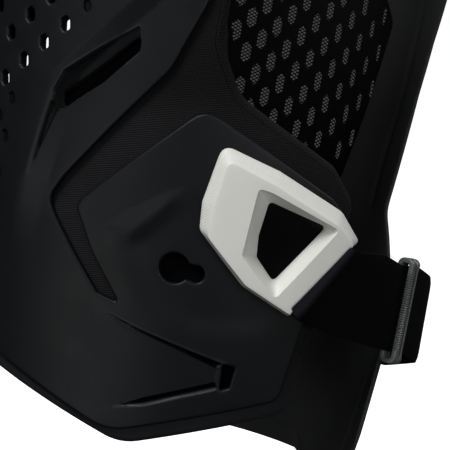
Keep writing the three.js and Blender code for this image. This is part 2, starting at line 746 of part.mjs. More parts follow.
addPiece('front_shell', frontShell(), MATERIALS.shell);
addPiece('front_pad', frontPad(), MATERIALS.textile);
addPiece('back_shell', backShell(), MATERIALS.backPlate);
addPiece('back_pad', backPad(), MATERIALS.textile);
addPiece('back_mesh', backMesh(), MATERIALS.mesh);
for (const [word, side] of [['left', 1], ['right', -1]]) {
  addPiece(`side_clip_${word}`, sideClip(side), MATERIALS.clip);
  addPiece(`clip_pin_${word}`, clipPin(side), MATERIALS.pin);
  addPiece(`side_strap_${word}`, sideStrap(side), MATERIALS.elastic);
  addPiece(`strap_slider_${word}`, strapSlider(side), MATERIALS.slider);
  addPiece(`shoulder_strap_${word}`, shoulderStrap(side), MATERIALS.webbing);
}

export default group;
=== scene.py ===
import math
from types import SimpleNamespace as Table

import bmesh
import bpy
import numpy as np
from mathutils import Matrix, Vector
from mathutils.geometry import delaunay_2d_cdt


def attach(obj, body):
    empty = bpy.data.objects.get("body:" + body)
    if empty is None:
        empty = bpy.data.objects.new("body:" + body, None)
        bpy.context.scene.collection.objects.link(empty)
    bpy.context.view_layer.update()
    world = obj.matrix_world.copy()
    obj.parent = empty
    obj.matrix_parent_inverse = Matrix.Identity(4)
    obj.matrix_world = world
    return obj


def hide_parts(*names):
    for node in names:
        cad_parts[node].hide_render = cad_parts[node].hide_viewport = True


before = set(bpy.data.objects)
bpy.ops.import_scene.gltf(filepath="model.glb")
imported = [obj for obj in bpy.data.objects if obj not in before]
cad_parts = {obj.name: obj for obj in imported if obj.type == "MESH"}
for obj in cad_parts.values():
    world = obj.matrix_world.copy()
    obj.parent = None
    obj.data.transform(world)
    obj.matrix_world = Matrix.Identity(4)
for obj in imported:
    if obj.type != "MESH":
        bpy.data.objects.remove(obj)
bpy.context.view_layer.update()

MM = 0.001

# The body's two faces, as in the part: s round it, z up it, w out of it, in millimetres.
CHEST = Table(radius=150.0, y=-115.0, bulge_z=-280.0, above=0.00062, below=0.0004)
BACK = Table(radius=165.0, y=98.0, bulge_z=-130.0, lean=0.00045)


# A point w out from a curved face, along the face's normal.
def lifted(radius, turn, y, z, normal, w):
    normal /= np.linalg.norm(normal, axis=-1, keepdims=True)
    point = np.stack([radius * np.sin(turn), y, z], axis=-1)
    return point + normal * w[..., None]


def chest(s, z, w):
    s, z, w = np.broadcast_arrays(np.asarray(s, float), z, w)
    turn = s / CHEST.radius
    rise = z - CHEST.bulge_z
    lean = np.where(rise > 0, CHEST.above, CHEST.below)
    normal = np.stack([np.sin(turn), -np.cos(turn), np.cos(turn) * 2 * lean * rise], axis=-1)
    y = CHEST.y + CHEST.radius * (1 - np.cos(turn)) + lean * rise * rise
    return lifted(CHEST.radius, turn, y, z, normal, w)


def back(s, z, w):
    s, z, w = np.broadcast_arrays(np.asarray(s, float), z, w)
    turn = s / BACK.radius
    rise = z - BACK.bulge_z
    normal = np.stack([np.sin(turn), np.cos(turn), np.cos(turn) * 2 * BACK.lean * rise], axis=-1)
    y = BACK.y - BACK.radius * (1 - np.cos(turn)) - BACK.lean * rise * rise
    return lifted(BACK.radius, turn, y, z, normal, w)


def smooth(value, low, high):
    t = np.clip((value - low) / (high - low), 0, 1)
    return t * t * (3 - 2 * t)


# Tables of corners: s, z, corner radius.
def mirrored(half):
    left = [(-s, z, r) for s, z, r in half if s > 0]
    return list(half) + left[::-1]


FRONT_SHELL = mirrored([
    (0, -364, 20), (72, -396, 26), (146, -374, 9), (155, -338, 8), (168, -291, 7),
    (162, -285, 6), (125, -264, 6), (103, -252, 11), (53, -297, 5), (51, -301, 4),
    (60, -319, 6), (74, -339, 1), (64, -336, 1), (53, -322, 6), (44, -310, 8),
    (37, -300, 8), (44, -289, 8), (86, -238, 22), (98, -207, 22), (97, -150, 30),
    (92, -100, 20), (86, -78, 9), (50, -74, 12), (0, -104, 30),
])
FRONT_PAD = mirrored([
    (0, -374, 20), (77, -402, 26), (152, -380, 13), (161, -341, 12), (174, -287, 11),
    (163, -272, 12), (117, -246, 20), (106, -225, 16), (106, -150, 30), (101, -90, 20),
    (95, -48, 12), (46, -46, 12), (0, -92, 30),
])
BACK_PAD = mirrored([
    (0, -422, 4), (56, -420, 5), (80, -434, 12), (116, -416, 12), (134, -398, 16),
    (139, -352, 10), (103, -319, 12), (85, -301, 10), (96, -245, 20), (104, -220, 16),
    (124, -180, 24), (128, -140, 24), (118, -90, 24), (97, -34, 12), (46, -32, 12), (0, -60, 30),
])
BACK_SHELL = mirrored([
    (0, -404, 8), (52, -402, 10), (68, -414, 12), (80, -396, 12), (82, -360, 16),
    (60, -314, 12), (58, -290, 12), (70, -240, 20), (80, -190, 20), (82, -140, 24),
    (78, -92, 20), (72, -66, 12), (46, -64, 12), (0, -88, 30),
])
WINDOW = mirrored([
    (0, -312, 14), (36, -300, 12), (47, -260, 20), (57, -216, 6), (42, -198, 10),
    (46, -140, 16), (30, -112, 14), (0, -104, 20),
])
SCOOP = [
    (70, -221, 1), (72, -231, 2), (57, -246, 3), (37, -264, 3), (35, -253, 4), (39, -244, 5), (53, -233, 5),
]
SCOOP_MOUTH = [(71, -226, 1), (71, -232, 1), (57, -247, 2), (40, -260, 2), (40, -254, 2), (56, -240, 2)]
SCOOP_TAIL = [(38, -262, 1), (27, -292, 1), (35, -256, 1)]
ARROW_UPPER = [
    (59, -341.2, 1), (72, -345.7, 1), (86, -350.9, 1), (100, -355.5, 1), (118, -362, 1),
    (121, -359.4, 1), (114, -357.6, 1), (100, -353.6, 1), (86, -349.5, 1), (72, -344.8, 1),
]
UPPER_LIP = [(59, -341), (72, -344.5), (86, -349.2), (100, -353.3), (114, -357.3), (122, -359)]
LOWER_LIP = [(75, -384.2), (88, -381.6), (101, -376.8), (119, -370.6)]
ARROW_LOWER = [(75, -384, 1), (88, -378, 1), (118, -367.5, 1), (119, -371, 1), (101, -377, 1), (88, -382, 1)]
ARROW_NOTCH = [(120.8, -360, 1), (126, -361, 1), (124, -370, 1), (120, -371.4, 1)]
ARROW_POST = [(117.4, -362.6, 1), (120.9, -361, 1), (120.2, -371, 1), (117, -368.4, 1)]
CLIP_FOOT = [
    (112, -266, 5), (137, -275, 4), (166, -290, 8), (175, -302, 3), (172.4, -304.8, 2.2),
    (168.6, -304, 2), (146, -331.8, 1.6), (148, -334.8, 1.6), (146.4, -336.2, 1.8), (126, -325, 5),
    (106, -303, 5), (106, -291, 6),
]
CLIP_CROWN = [
    (115, -272, 3), (135, -280.5, 3), (162, -295, 6), (170.4, -303, 2.5), (146, -334.4, 2),
    (126.6, -323.2, 4), (109.7, -304.4, 4), (111, -292, 4),
]
CLIP_WINDOW_TOP = [(128, -282, 2), (134, -283.5, 2), (163, -297, 2), (139, -328, 2), (124, -311, 2)]
CLIP_WINDOW_FOOT = [(134, -288, 2), (160, -297, 2), (139, -322, 2), (131, -312, 2), (131, -303, 2)]
KEYHOLE = Table(
    s=97.0, z=-321.0, wide=6.4, small_s=106.3, small_z=-322.5, narrow=3.6, neck=0.92,
)

HOLE = Table(
    width=4.6, height=6.6, lean=0.6, corner=0.9,
    step_s=9.2, step_z=19.4, rise=8.9, z0=-241.0,
)
HOLE_ROWS = Table(low=-256, high=-180, margin=15.6, columns=6)
BLIND_HOLES = [(46, -216), (14.5, -259.5), (8.5, -268), (13, -276), (11, -292)]
SLOT = Table(width=6.6, height=12.4, step_s=7.2, step_z=17.5, z0=-250.1, slope=-1.42)
SLOT_ROWS = Table(low=-286, high=-206, margin=2, columns=7)
PAD_HOLE = Table(wide=1.6, tall=1.35, inward=5.9, less=1.0, down=1.4, columns=(1, 2, 3, 4))
BACK_PAD_EDGE = [
    (-440, 120), (-398, 134), (-352, 138), (-318, 103), (-301, 88),
    (-245, 96), (-220, 104), (-180, 123), (-140, 127), (-90, 117), (-40, 98),
]

DEPTH = Table(
    shell=2.5, pad_in=-9.8, pad_out=-3.0, pocket=4.2, back_in=0.0, back_out=7.0,
    back_edge=1.8, back_taper=30.0, mesh=6.3, veil=5.9,
    plate_in=7.7, plate_out=10.2, ridge=2.2, ridge_from=52.0, ridge_to=72.0,
)

# The outline work's limits, in millimetres, or as shares of a length.
CORNER_ROOM = 0.45
LEAST_CUT = 0.15
SAME_POINT = 1e-4
POINTS_AT_ONCE = 4000


# Outlines become loops of points, with rounded corners and no long edge.
def rounded(corners, pieces=6):
    points = []
    count = len(corners)
    for i, (s, z, radius) in enumerate(corners):
        here = Vector((s, z))
        inward = Vector(corners[i - 1][:2]) - here
        outward = Vector(corners[(i + 1) % count][:2]) - here
        room = CORNER_ROOM * min(inward.length, outward.length)
        inward.normalize()
        outward.normalize()
        half = math.acos(max(-1.0, min(1.0, inward.dot(outward)))) / 2
        cut = min(radius / math.tan(half), room)
        if cut < LEAST_CUT:
            points.append((s, z))
            continue
        for k in range(pieces + 1):
            t = k / pieces
            p = here + inward * cut * (1 - t) ** 2 + outward * cut * t ** 2
            points.append((p.x, p.y))
    return points


# The points from a towards b, without b, no more than gap apart.
def stepped(a, b, gap):
    steps = max(1, math.ceil(math.dist(a, b) / gap))
    shares = [k / steps for k in range(steps)]
    return [(a[0] + (b[0] - a[0]) * t, a[1] + (b[1] - a[1]) * t) for t in shares]


def fine(points, gap):
    out = []
    for a, b in zip(points, points[1:] + points[:1]):
        if math.dist(a, b) > SAME_POINT:
            out += stepped(a, b, gap)
    out = np.array(out)
    x, y = out[:, 0], out[:, 1]
    area = np.sum(x * np.roll(y, -1) - np.roll(x, -1) * y)
    return out if area > 0 else out[::-1]


def fine_line(line, gap):
    out = [p for a, b in zip(line[:-1], line[1:]) for p in stepped(a, b, gap)]
    out.append(tuple(line[-1]))
    return np.array(out, float)


def loop(corners, gap=2.4, pieces=6):
    return fine(rounded(corners, pieces), gap)


def flip(points):
    out = points.copy()
    out[:, 0] *= -1
    return out[::-1]


def circle(s, z, radius, sides):
    turn = np.arange(sides) * 2 * math.pi / sides
    return np.stack([s + radius * np.cos(turn), z + radius * np.sin(turn)], axis=-1)


def keyhole_loop():
    k = KEYHOLE
    along = math.atan2(k.small_z - k.z, k.small_s - k.s)
    neck = k.narrow * k.neck
    wide = math.asin(neck / k.wide)
    small = math.asin(neck / k.narrow)
    points = []
    for s, z, radius, first, shut, steps in (
        (k.s, k.z, k.wide, along + wide, wide, 28),
        (k.small_s, k.small_z, k.narrow, along - (math.pi - small), small, 18),
    ):
        for i in range(steps + 1):
            turn = first + (2 * math.pi - 2 * shut) * i / steps
            points.append((s + radius * math.cos(turn), z + radius * math.sin(turn)))
    return fine(points, 1.2)


# Vector work on many points at once.
def inside(points, ring):
    x, y = points[:, 0], points[:, 1]
    odd = np.zeros(len(points), bool)
    x1, y1 = ring[:, 0], ring[:, 1]
    x2, y2 = np.roll(x1, -1), np.roll(y1, -1)
    for a, b, c, d in zip(x1, y1, x2, y2):
        if b == d:
            continue
        crosses = (b > y) != (d > y)
        odd ^= crosses & (x < (c - a) * (y - b) / (d - b) + a)
    return odd


def nearest(points, starts, ends):
    best = np.full(len(points), 1e9)
    along = ends - starts
    length2 = np.maximum((along ** 2).sum(axis=1), 1e-12)
    for first in range(0, len(points), POINTS_AT_ONCE):
        p = points[first:first + POINTS_AT_ONCE]
        rel = p[:, None, :] - starts[None]
        t = np.clip((rel * along[None]).sum(axis=2) / length2[None], 0, 1)
        gap = rel - t[..., None] * along[None]
        best[first:first + POINTS_AT_ONCE] = np.sqrt((gap ** 2).sum(axis=2)).min(axis=1)
    return best


def ring_distance(points, rings):
    starts = np.concatenate(rings)
    ends = np.concatenate([np.roll(r, -1, axis=0) for r in rings])
    return nearest(points, starts, ends)


def line_distance(points, line):
    line = np.asarray(line, float)
    return nearest(points, line[:-1], line[1:])


def signed(points, ring):
    gap = ring_distance(points, [ring])
    return np.where(inside(points, ring), gap, -gap)


def shifted(line, forward, offset):
    forward = forward / np.maximum(np.linalg.norm(forward, axis=1, keepdims=True), 1e-9)
    return line + np.stack([-forward[:, 1], forward[:, 0]], axis=-1) * offset


def beside(ring, offset):
    return shifted(ring, np.roll(ring, -1, axis=0) - np.roll(ring, 1, axis=0), offset)


def side_line(line, offset):
    return shifted(line, np.gradient(line, axis=0), offset)


# Both halves share one half's rings and lines, so a point's s is folded over to the positive side.
def folded(p):
    return np.stack([np.abs(p[:, 0]), p[:, 1]], axis=-1)


# Rows of extra points beside the features of a plate, as offsets from them.
LIP_ROWS = Table(step=0.8, offsets=(0.0, -0.5, 0.5, -1.1, 1.1))
LINE_ROWS = Table(step=1.4, offsets=(-2.2, -1.0, 0.0, 1.0, 2.2))
RECESS_OFFSETS = (-0.5, 0.0, 0.5, 1.0)
# The lattice between them: its rows' step and its room to edges and rows, as shares of the grid.
LATTICE = Table(row=0.866, edge_room=0.3, row_room=0.45)
LEAST_ROOM = 0.3
LEAST_AREA = 1e-7


# One plate over an outline with holes: a fine mesh that follows a height over s and z.
def plate(name, place, outline, holes, high, low, material, grid=3.0, edge=1.0, low_edge=0.5,
          recesses=(), lines=(), flips=False, edge_rings=(0.3, 0.7, 1.2), tone=None, lips=()):
    rings = [outline] + list(holes)
    offsets = [offset * edge for offset in edge_rings]
    seeds = seed_points(rings, offsets, recesses, lines, lips)
    lattice = lattice_points(outline, grid)
    lattice = lattice[ring_distance(lattice, rings) > max(offsets) + grid * LATTICE.edge_room]
    lattice = lattice[far_from(lattice, seeds, grid * LATTICE.row_room)]
    near = seeds[ring_distance(seeds, rings) > min(offsets) * 0.8]
    points = np.concatenate(rings + [thinned(near, LEAST_ROOM), lattice])
    flat, tris = triangulated(points, ring_edges(rings))
    middle = flat[tris].mean(axis=1)
    keep = inside(middle, outline)
    for ring in holes:
        keep &= ~inside(middle, ring)
    tris = turned_alike(flat, tris[keep], LEAST_AREA)
    used = np.unique(tris)
    renumber = np.full(len(flat), -1)
    renumber[used] = np.arange(len(used))
    tris = renumber[tris]
    flat = flat[used]
    gap = ring_distance(flat, rings)
    top = place(flat[:, 0], flat[:, 1], high(flat) - round_over(gap, edge))
    bottom = place(flat[:, 0], flat[:, 1], low(flat) + round_over(gap, low_edge))
    count = len(flat)
    faces = [*tris, *(tris[:, ::-1] + count), *walls(tris, count)]
    shade = np.ones(count) if tone is None else tone(flat)
    return make_mesh(name, np.concatenate([top, bottom]), faces, np.concatenate([flat, flat]),
                     np.concatenate([gap, gap]), material, flips, tone=np.concatenate([shade, shade]))


def seed_points(rings, edge_offsets, recesses, lines, lips):
    seeds = []
    for line in lips:
        dense = fine_line(line, LIP_ROWS.step)
        seeds += [side_line(dense, offset) for offset in LIP_ROWS.offsets]
    for i, ring in enumerate(rings):
        sign = 1 if i == 0 else -1
        seeds += [beside(ring, sign * offset) for offset in edge_offsets]
    for ring in recesses:
        seeds += [beside(ring, offset) for offset in RECESS_OFFSETS]
    for line in lines:
        dense = fine_line(line, LINE_ROWS.step)
        seeds += [side_line(dense, offset) for offset in LINE_ROWS.offsets]
    return np.concatenate(seeds)


def lattice_points(outline, grid):
    low_s, low_z = outline.min(axis=0)
    high_s, high_z = outline.max(axis=0)
    columns = np.arange(low_s, high_s, grid)
    rows = []
    for j, z in enumerate(np.arange(low_z, high_z, grid * LATTICE.row)):
        rows.append(np.stack([columns + (grid / 2 if j % 2 else 0), np.full(len(columns), z)], axis=-1))
    return np.concatenate(rows)


def ring_edges(rings):
    edges = []
    start = 0
    for ring in rings:
        count = len(ring)
        edges += [(start + k, start + (k + 1) % count) for k in range(count)]
        start += count
    return edges


def triangulated(points, edges, kind=0):
    verts, _, faces, _, _, _ = delaunay_2d_cdt([Vector(p) for p in points], edges, [], kind, 1e-5)
    flat = np.array([(v.x, v.y) for v in verts])
    return flat, np.array([f for f in faces if len(f) == 3])


# Triangles that all turn the same way, without those of less than the least area.
def turned_alike(flat, tris, least=0.0):
    a, b, c = flat[tris[:, 0]], flat[tris[:, 1]], flat[tris[:, 2]]
    area = (b[:, 0] - a[:, 0]) * (c[:, 1] - a[:, 1]) - (b[:, 1] - a[:, 1]) * (c[:, 0] - a[:, 0])
    large = np.abs(area) >= least
    tris, area = tris[large], area[large]
    tris[area < 0] = tris[area < 0][:, ::-1]
    return tris


# Whether a point of the cells lies less than gap from x, y.
def crowded(cells, x, y, gap):
    cx, cy = int(x // gap), int(y // gap)
    for dx in (-1, 0, 1):
        for dy in (-1, 0, 1):
            for q in cells.get((cx + dx, cy + dy), ()):
                if (q[0] - x) ** 2 + (q[1] - y) ** 2 < gap * gap:
                    return True
    return False


def far_from(points, others, gap):
    cells = {}
    for p in others:
        cells.setdefault((int(p[0] // gap), int(p[1] // gap)), []).append(p)
    return np.array([not crowded(cells, x, y, gap) for x, y in points], bool)


def thinned(points, gap):
    cells = {}
    keep = []
    for i, (x, y) in enumerate(points):
        if not crowded(cells, x, y, gap):
            cells.setdefault((int(x // gap), int(y // gap)), []).append((x, y))
            keep.append(i)
    return points[keep]


def round_over(gap, radius):
    t = np.clip(1 - gap / radius, 0, 1)
    return radius * (1 - np.sqrt(1 - t * t))


# The side faces between the upper and the lower skin, along every edge that has one triangle.
def walls(tris, count):
    seen = {}
    for a, b, c in tris:
        for p, q in ((a, b), (b, c), (c, a)):
            seen[(p, q)] = True
    return [(p, p + count, q + count, q) for p, q in seen if (q, p) not in seen]


def linked(name, data):
    obj = bpy.data.objects.new(name, data)
    bpy.context.scene.collection.objects.link(obj)
    return obj


def make_mesh(name, points, faces, plan, gap, material, flips=False, angle=38, tone=None):
    mesh = bpy.data.meshes.new(name)
    step = -1 if flips else 1
    faces = [tuple(int(v) for v in face)[::step] for face in faces]
    mesh.from_pydata([tuple(p) for p in points * MM], [], faces)
    finish_mesh(mesh, plan, gap, angle, tone)
    mesh.materials.append(material)
    return linked(name, mesh)


# Each point carries its place on the plan, its distance to the nearest edge and its tone: painted shade and
# highlights, or on the clip the mask of its ribbed bevel.
def finish_mesh(mesh, plan, gap, angle, tone=None):
    corner = np.zeros(len(mesh.loops), dtype=np.int32)
    mesh.loops.foreach_get("vertex_index", corner)
    layer = mesh.uv_layers.new(name="plan")
    layer.data.foreach_set("uv", (plan[corner] * MM).astype(np.float32).ravel())
    for name, values in (("edge_mm", gap), ("tone", np.ones(len(gap)) if tone is None else tone)):
        data = mesh.attributes.new(name, "FLOAT", "POINT").data
        data.foreach_set("value", np.asarray(values, dtype=np.float32))
    mesh.polygons.foreach_set("use_smooth", np.ones(len(mesh.polygons), bool))
    mesh.set_sharp_from_angle(angle=math.radians(angle))
    mesh.update()


# Node helpers.
def srgb(r, g, b):
    def one(v):
        v /= 255
        return v / 12.92 if v <= 0.04045 else ((v + 0.055) / 1.055) ** 2.4
    return (one(r), one(g), one(b), 1.0)


class Nodes:
    def __init__(self, name):
        self.material = bpy.data.materials.new(name)
        self.material.use_nodes = True
        self.tree = self.material.node_tree
        self.shader = self.tree.nodes["Principled BSDF"]

    def add(self, kind, **values):
        node = self.tree.nodes.new(kind)
        for key, value in values.items():
            if hasattr(node, key):
                setattr(node, key, value)
            else:
                node.inputs[key.replace("_", " ")].default_value = value
        return node

    def link(self, output, target):
        self.tree.links.new(output, target)

    def plan(self, scale=(1, 1, 1), turn=0.0):
        place = self.add("ShaderNodeUVMap", uv_map="plan")
        mapping = self.add("ShaderNodeMapping")
        mapping.inputs["Scale"].default_value = scale
        mapping.inputs["Rotation"].default_value = (0, 0, turn)
        self.link(place.outputs[0], mapping.inputs[0])
        return mapping.outputs[0]

    def solid(self):
        return self.add("ShaderNodeTexCoord").outputs["Object"]

    def noise(self, where, scale, detail=3.0, roughness=0.5):
        node = self.add("ShaderNodeTexNoise", Scale=scale, Detail=detail, Roughness=roughness)
        self.link(where, node.inputs["Vector"])
        return node.outputs[0]

    def wave(self, where, scale, distortion=0.0, direction="X"):
        node = self.add("ShaderNodeTexWave", wave_type="BANDS", bands_direction=direction)
        node.inputs["Scale"].default_value = scale
        node.inputs["Distortion"].default_value = distortion
        node.inputs["Detail"].default_value = 1.0
        self.link(where, node.inputs["Vector"])
        return node.outputs["Fac"]

    def times(self, a, b):
        return self.math("MULTIPLY", a, b)

    def plus(self, a, b):
        return self.math("ADD", a, b)

    def math(self, kind, a, b=None):
        node = self.add("ShaderNodeMath", operation=kind)
        for socket, value in zip(node.inputs, (a, b)):
            if value is None:
                continue
            if isinstance(value, (int, float)):
                socket.default_value = value
            else:
                self.link(value, socket)
        return node.outputs[0]

    def ramp(self, value, stops):
        node = self.add("ShaderNodeValToRGB")
        while len(node.color_ramp.elements) < len(stops):
            node.color_ramp.elements.new(0.5)
        for element, (position, colour) in zip(node.color_ramp.elements, stops):
            element.position = position
            element.color = colour
        self.link(value, node.inputs[0])
        return node.outputs[0]

    def span(self, value, low, high, to_low, to_high):
        node = self.add("ShaderNodeMapRange")
        self.link(value, node.inputs[0])
        for index, number in enumerate((low, high, to_low, to_high)):
            node.inputs[index + 1].default_value = number
        return node.outputs[0]

    def bump(self, height, strength, distance, after=None):
        node = self.add("ShaderNodeBump")
        node.inputs["Strength"].default_value = strength
        node.inputs["Distance"].default_value = distance
        self.link(height, node.inputs["Height"])
        if after is not None:
            self.link(after, node.inputs["Normal"])
        return node.outputs[0]

    def attribute(self, name):
        return self.add("ShaderNodeAttribute", attribute_name=name).outputs["Fac"]

    def with_painted_light(self, colour, level):
        """The colour times the mesh's tone of painted shade and highlights, under a gloss that follows the
        tone up to level, so painted shade dims the gloss too.
        """
        tone = self.attribute("tone")
        scale = self.add("ShaderNodeVectorMath", operation="SCALE")
        self.link(colour, scale.inputs[0])
        self.link(tone, scale.inputs["Scale"])
        self.link(self.span(tone, 0.0, 1.0, 0.0, level), self.shader.inputs["Specular IOR Level"])
        return scale.outputs[0]

    def base(self, colour):
        self.link(colour, self.shader.inputs["Base Color"])

    def normal(self, bump):
        self.link(bump, self.shader.inputs["Normal"])

    def fixed(self, **values):
        for key, value in values.items():
            self.shader.inputs[key.replace("_", " ")].default_value = value


# Fine-grained moulded plastic. A mesh's tone paints highlights on its lips and shade in its hollows.
def plastic(name, dark, pale, rough, grain=0.35, with_painted_light=True, gloss=0.22):
    n = Nodes(name)
    where = n.solid()
    colour = n.ramp(n.noise(where, 22.0, 4.0), [(0.3, dark), (0.75, pale)])
    n.fixed(Specular_IOR_Level=gloss)
    n.base(n.with_painted_light(colour, gloss) if with_painted_light else colour)
    fine_grain = n.noise(where, 2600.0, 2.0, 0.6)
    cells = n.add("ShaderNodeTexVoronoi", Scale=1500.0)
    n.link(where, cells.inputs["Vector"])
    smudge = n.noise(where, 60.0, 5.0, 0.65)
    n.link(n.span(smudge, 0.3, 0.75, rough - 0.05, rough + 0.07), n.shader.inputs["Roughness"])
    first = n.bump(cells.outputs["Distance"], grain * 0.5, 0.00012)
    n.normal(n.bump(fine_grain, grain, 0.00006, first))
    return n.material


# Between these heights, in metres, the ribs and the seam fade out into the plain lower roll.
FADES_OUT = (-0.37, -0.35)


# Fine ribbed knit, with a stitched seam at a constant distance from the edge.
def textile(name, dark, pale, rib=0.95, turn=-0.2, binding=3.4):
    n = Nodes(name)
    per_metre = 1000.0 * math.pi / 20 / rib
    ribs = n.wave(n.plan(turn=turn), per_metre * 2, 0.4, "Y")
    cross = n.wave(n.plan(turn=turn + 0.5), per_metre * 1.2, 0.6, "X")
    weave = n.times(ribs, n.plus(n.times(cross, 0.5), 0.5))
    place = n.add("ShaderNodeSeparateXYZ")
    n.link(n.solid(), place.inputs[0])
    up = place.outputs["Z"]
    ribbed = n.times(weave, n.span(up, *FADES_OUT, 0.1, 1.0))
    weave = n.plus(ribbed, n.span(up, *FADES_OUT, 0.75, 0.0))
    fuzz = n.noise(n.solid(), 1800.0, 3.0, 0.7)
    broad = n.noise(n.solid(), 35.0, 3.0)
    tone = n.plus(n.times(weave, 0.55), n.times(broad, 0.45))
    n.base(n.with_painted_light(n.ramp(tone, [(0.25, dark), (0.75, pale)]), 0.2))
    off_seam = n.math("ABSOLUTE", n.math("SUBTRACT", n.attribute("edge_mm"), binding))
    seam = n.math("SUBTRACT", 1.0, n.math("MINIMUM", n.times(off_seam, 2.4), 1.0))
    seam = n.times(seam, n.span(up, *FADES_OUT, 0.0, 1.0))
    first = n.bump(weave, 0.55, 0.00035)
    second = n.bump(n.times(seam, -1.0), 0.8, 0.0005, first)
    n.normal(n.bump(fuzz, 0.3, 0.00015, second))
    n.fixed(Roughness=0.82, Sheen_Weight=0.01, Sheen_Roughness=0.45)
    return n.material


# Soft brushed lining of the back.
def lining(name, dark, pale):
    n = Nodes(name)
    where = n.solid()
    n.base(n.with_painted_light(n.ramp(n.noise(where, 30.0, 4.0), [(0.25, dark), (0.8, pale)]), 0.3))
    nap = n.noise(where, 1500.0, 4.0, 0.7)
    knit = n.wave(n.plan(turn=0.5), 620.0, 0.8)
    n.normal(n.bump(nap, 0.35, 0.0002, n.bump(knit, 0.25, 0.0002)))
    n.fixed(Roughness=0.7)
    return n.material


# Off-white plastic, with fine slanted ribs wherever the mesh's tone marks the bevel.
def clip_plastic():
    n = Nodes("clip_plastic")
    where = n.solid()
    n.base(n.ramp(n.noise(where, 40.0, 4.0), [(0.3, srgb(223, 223, 217)), (0.8, srgb(231, 231, 225))]))
    grain = n.noise(where, 1800.0, 3.0, 0.6)
    ribs = n.wave(n.plan(turn=0.785), 350.0, 0.1)
    first = n.bump(n.times(ribs, n.attribute("tone")), 0.4, 0.0003)
    n.normal(n.bump(grain, 0.18, 0.0001, first))
    n.fixed(Roughness=0.52, Specular_IOR_Level=0.4)
    return n.material


# Knitted elastic: fine cords along the strap and a dark fuzz over them.
def elastic(name, dark, pale):
    n = Nodes(name)
    cords = n.wave(n.plan(), 500.0, 0.2, "Y")
    stitches = n.wave(n.plan(), 420.0, 0.5, "X")
    knit = n.times(cords, n.plus(n.times(stitches, 0.6), 0.4))
    fuzz = n.noise(n.solid(), 2200.0, 4.0, 0.75)
    tone = n.plus(n.times(knit, 0.5), n.times(fuzz, 0.5))
    n.base(n.with_painted_light(n.ramp(tone, [(0.35, dark), (0.75, pale)]), 0.08))
    n.normal(n.bump(fuzz, 0.6, 0.00025, n.bump(knit, 0.6, 0.0003)))
    n.fixed(Roughness=0.9, Sheen_Weight=0.02, Sheen_Roughness=0.35, Sheen_Tint=(0.62, 0.58, 0.78, 1.0))
    return n.material


# The sheer second face of the spacer knit: share is how much of it isn't clear.
def sheer(name, share):
    n = Nodes(name)
    clear = n.add("ShaderNodeBsdfTransparent")
    mix = n.add("ShaderNodeMixShader")
    yarn = n.noise(n.solid(), 900.0, 3.0, 0.6)
    n.link(n.span(yarn, 0.3, 0.7, 1 - share * 1.25, 1 - share * 0.75), mix.inputs[0])
    n.link(clear.outputs[0], mix.inputs[1])
    n.link(n.shader.outputs[0], mix.inputs[2])
    n.link(mix.outputs[0], n.tree.nodes["Material Output"].inputs["Surface"])
    n.base(n.ramp(yarn, [(0.3, srgb(10, 10, 11)), (0.8, srgb(17, 17, 18))]))
    n.normal(n.bump(yarn, 0.4, 0.0002))
    n.fixed(Roughness=0.9, Specular_IOR_Level=0.1)
    return n.material


SHELL = plastic("shell_plastic", srgb(8, 10, 12), srgb(13, 15, 19), 0.45)
PLATE = plastic("plate_plastic", srgb(18, 19, 20), srgb(25, 26, 27), 0.55)
SLIDER = plastic("slider_plastic", srgb(74, 78, 77), srgb(98, 102, 101), 0.32, gloss=0.8)
PIN = plastic("pin_plastic", srgb(30, 31, 32), srgb(38, 39, 40), 0.5, with_painted_light=False)
TEXTILE = textile("ribbed_textile", srgb(3, 3, 4), srgb(27, 28, 31))
LINING = lining("brushed_lining", srgb(44, 45, 46), srgb(60, 61, 62))
MESH = lining("mesh_liner", srgb(60, 61, 61), srgb(76, 76, 77))
VEIL = sheer("sheer_knit", 0.05)
CLIP = clip_plastic()
ELASTIC = elastic("knitted_elastic", srgb(2, 2, 3), srgb(9, 9, 11))
WEBBING = elastic("woven_webbing", srgb(8, 8, 10), srgb(20, 20, 23))


# The front shell.
FIELD = Table(
    height=2.4, slope=11.0, low=-330.0, high=-290.0,
    edge=35.0, bend=-245.0, above=0.9, below=0.2,
)


# The s where the raised centre field ends at a height z.
def field_edge(z):
    rise = z - FIELD.bend
    return FIELD.edge + rise * np.where(rise > 0, FIELD.above, FIELD.below)


def both(rings):
    return [r for ring in rings for r in (ring, flip(ring))]


def slanted_hole(s, z, wide=1.0, tall=None):
    a = HOLE.width / 2 * wide
    b = HOLE.height / 2 * (wide if tall is None else tall)
    lean = -HOLE.lean if s < 0 else HOLE.lean
    corners = [
        (s - a + lean, z - b * 0.45), (s - a * 0.2 + lean, z - b), (s + a, z - b * 0.55),
        (s + a - lean, z + b * 0.45), (s + a * 0.2 - lean, z + b), (s - a, z + b * 0.55),
    ]
    return loop([(x, y, HOLE.corner) for x, y in corners], 1.3, 3)


def hole_centres():
    centres = []
    for column in range(HOLE_ROWS.columns + 1):
        s = HOLE.step_s * column
        for row in range(-8, 9):
            z = HOLE.z0 + HOLE.rise * column + HOLE.step_z * row
            within = s < field_edge(z) - HOLE_ROWS.margin
            if within and HOLE_ROWS.low < z < HOLE_ROWS.high:
                centres.append((s, z))
                if column:
                    centres.append((-s, z))
    return centres


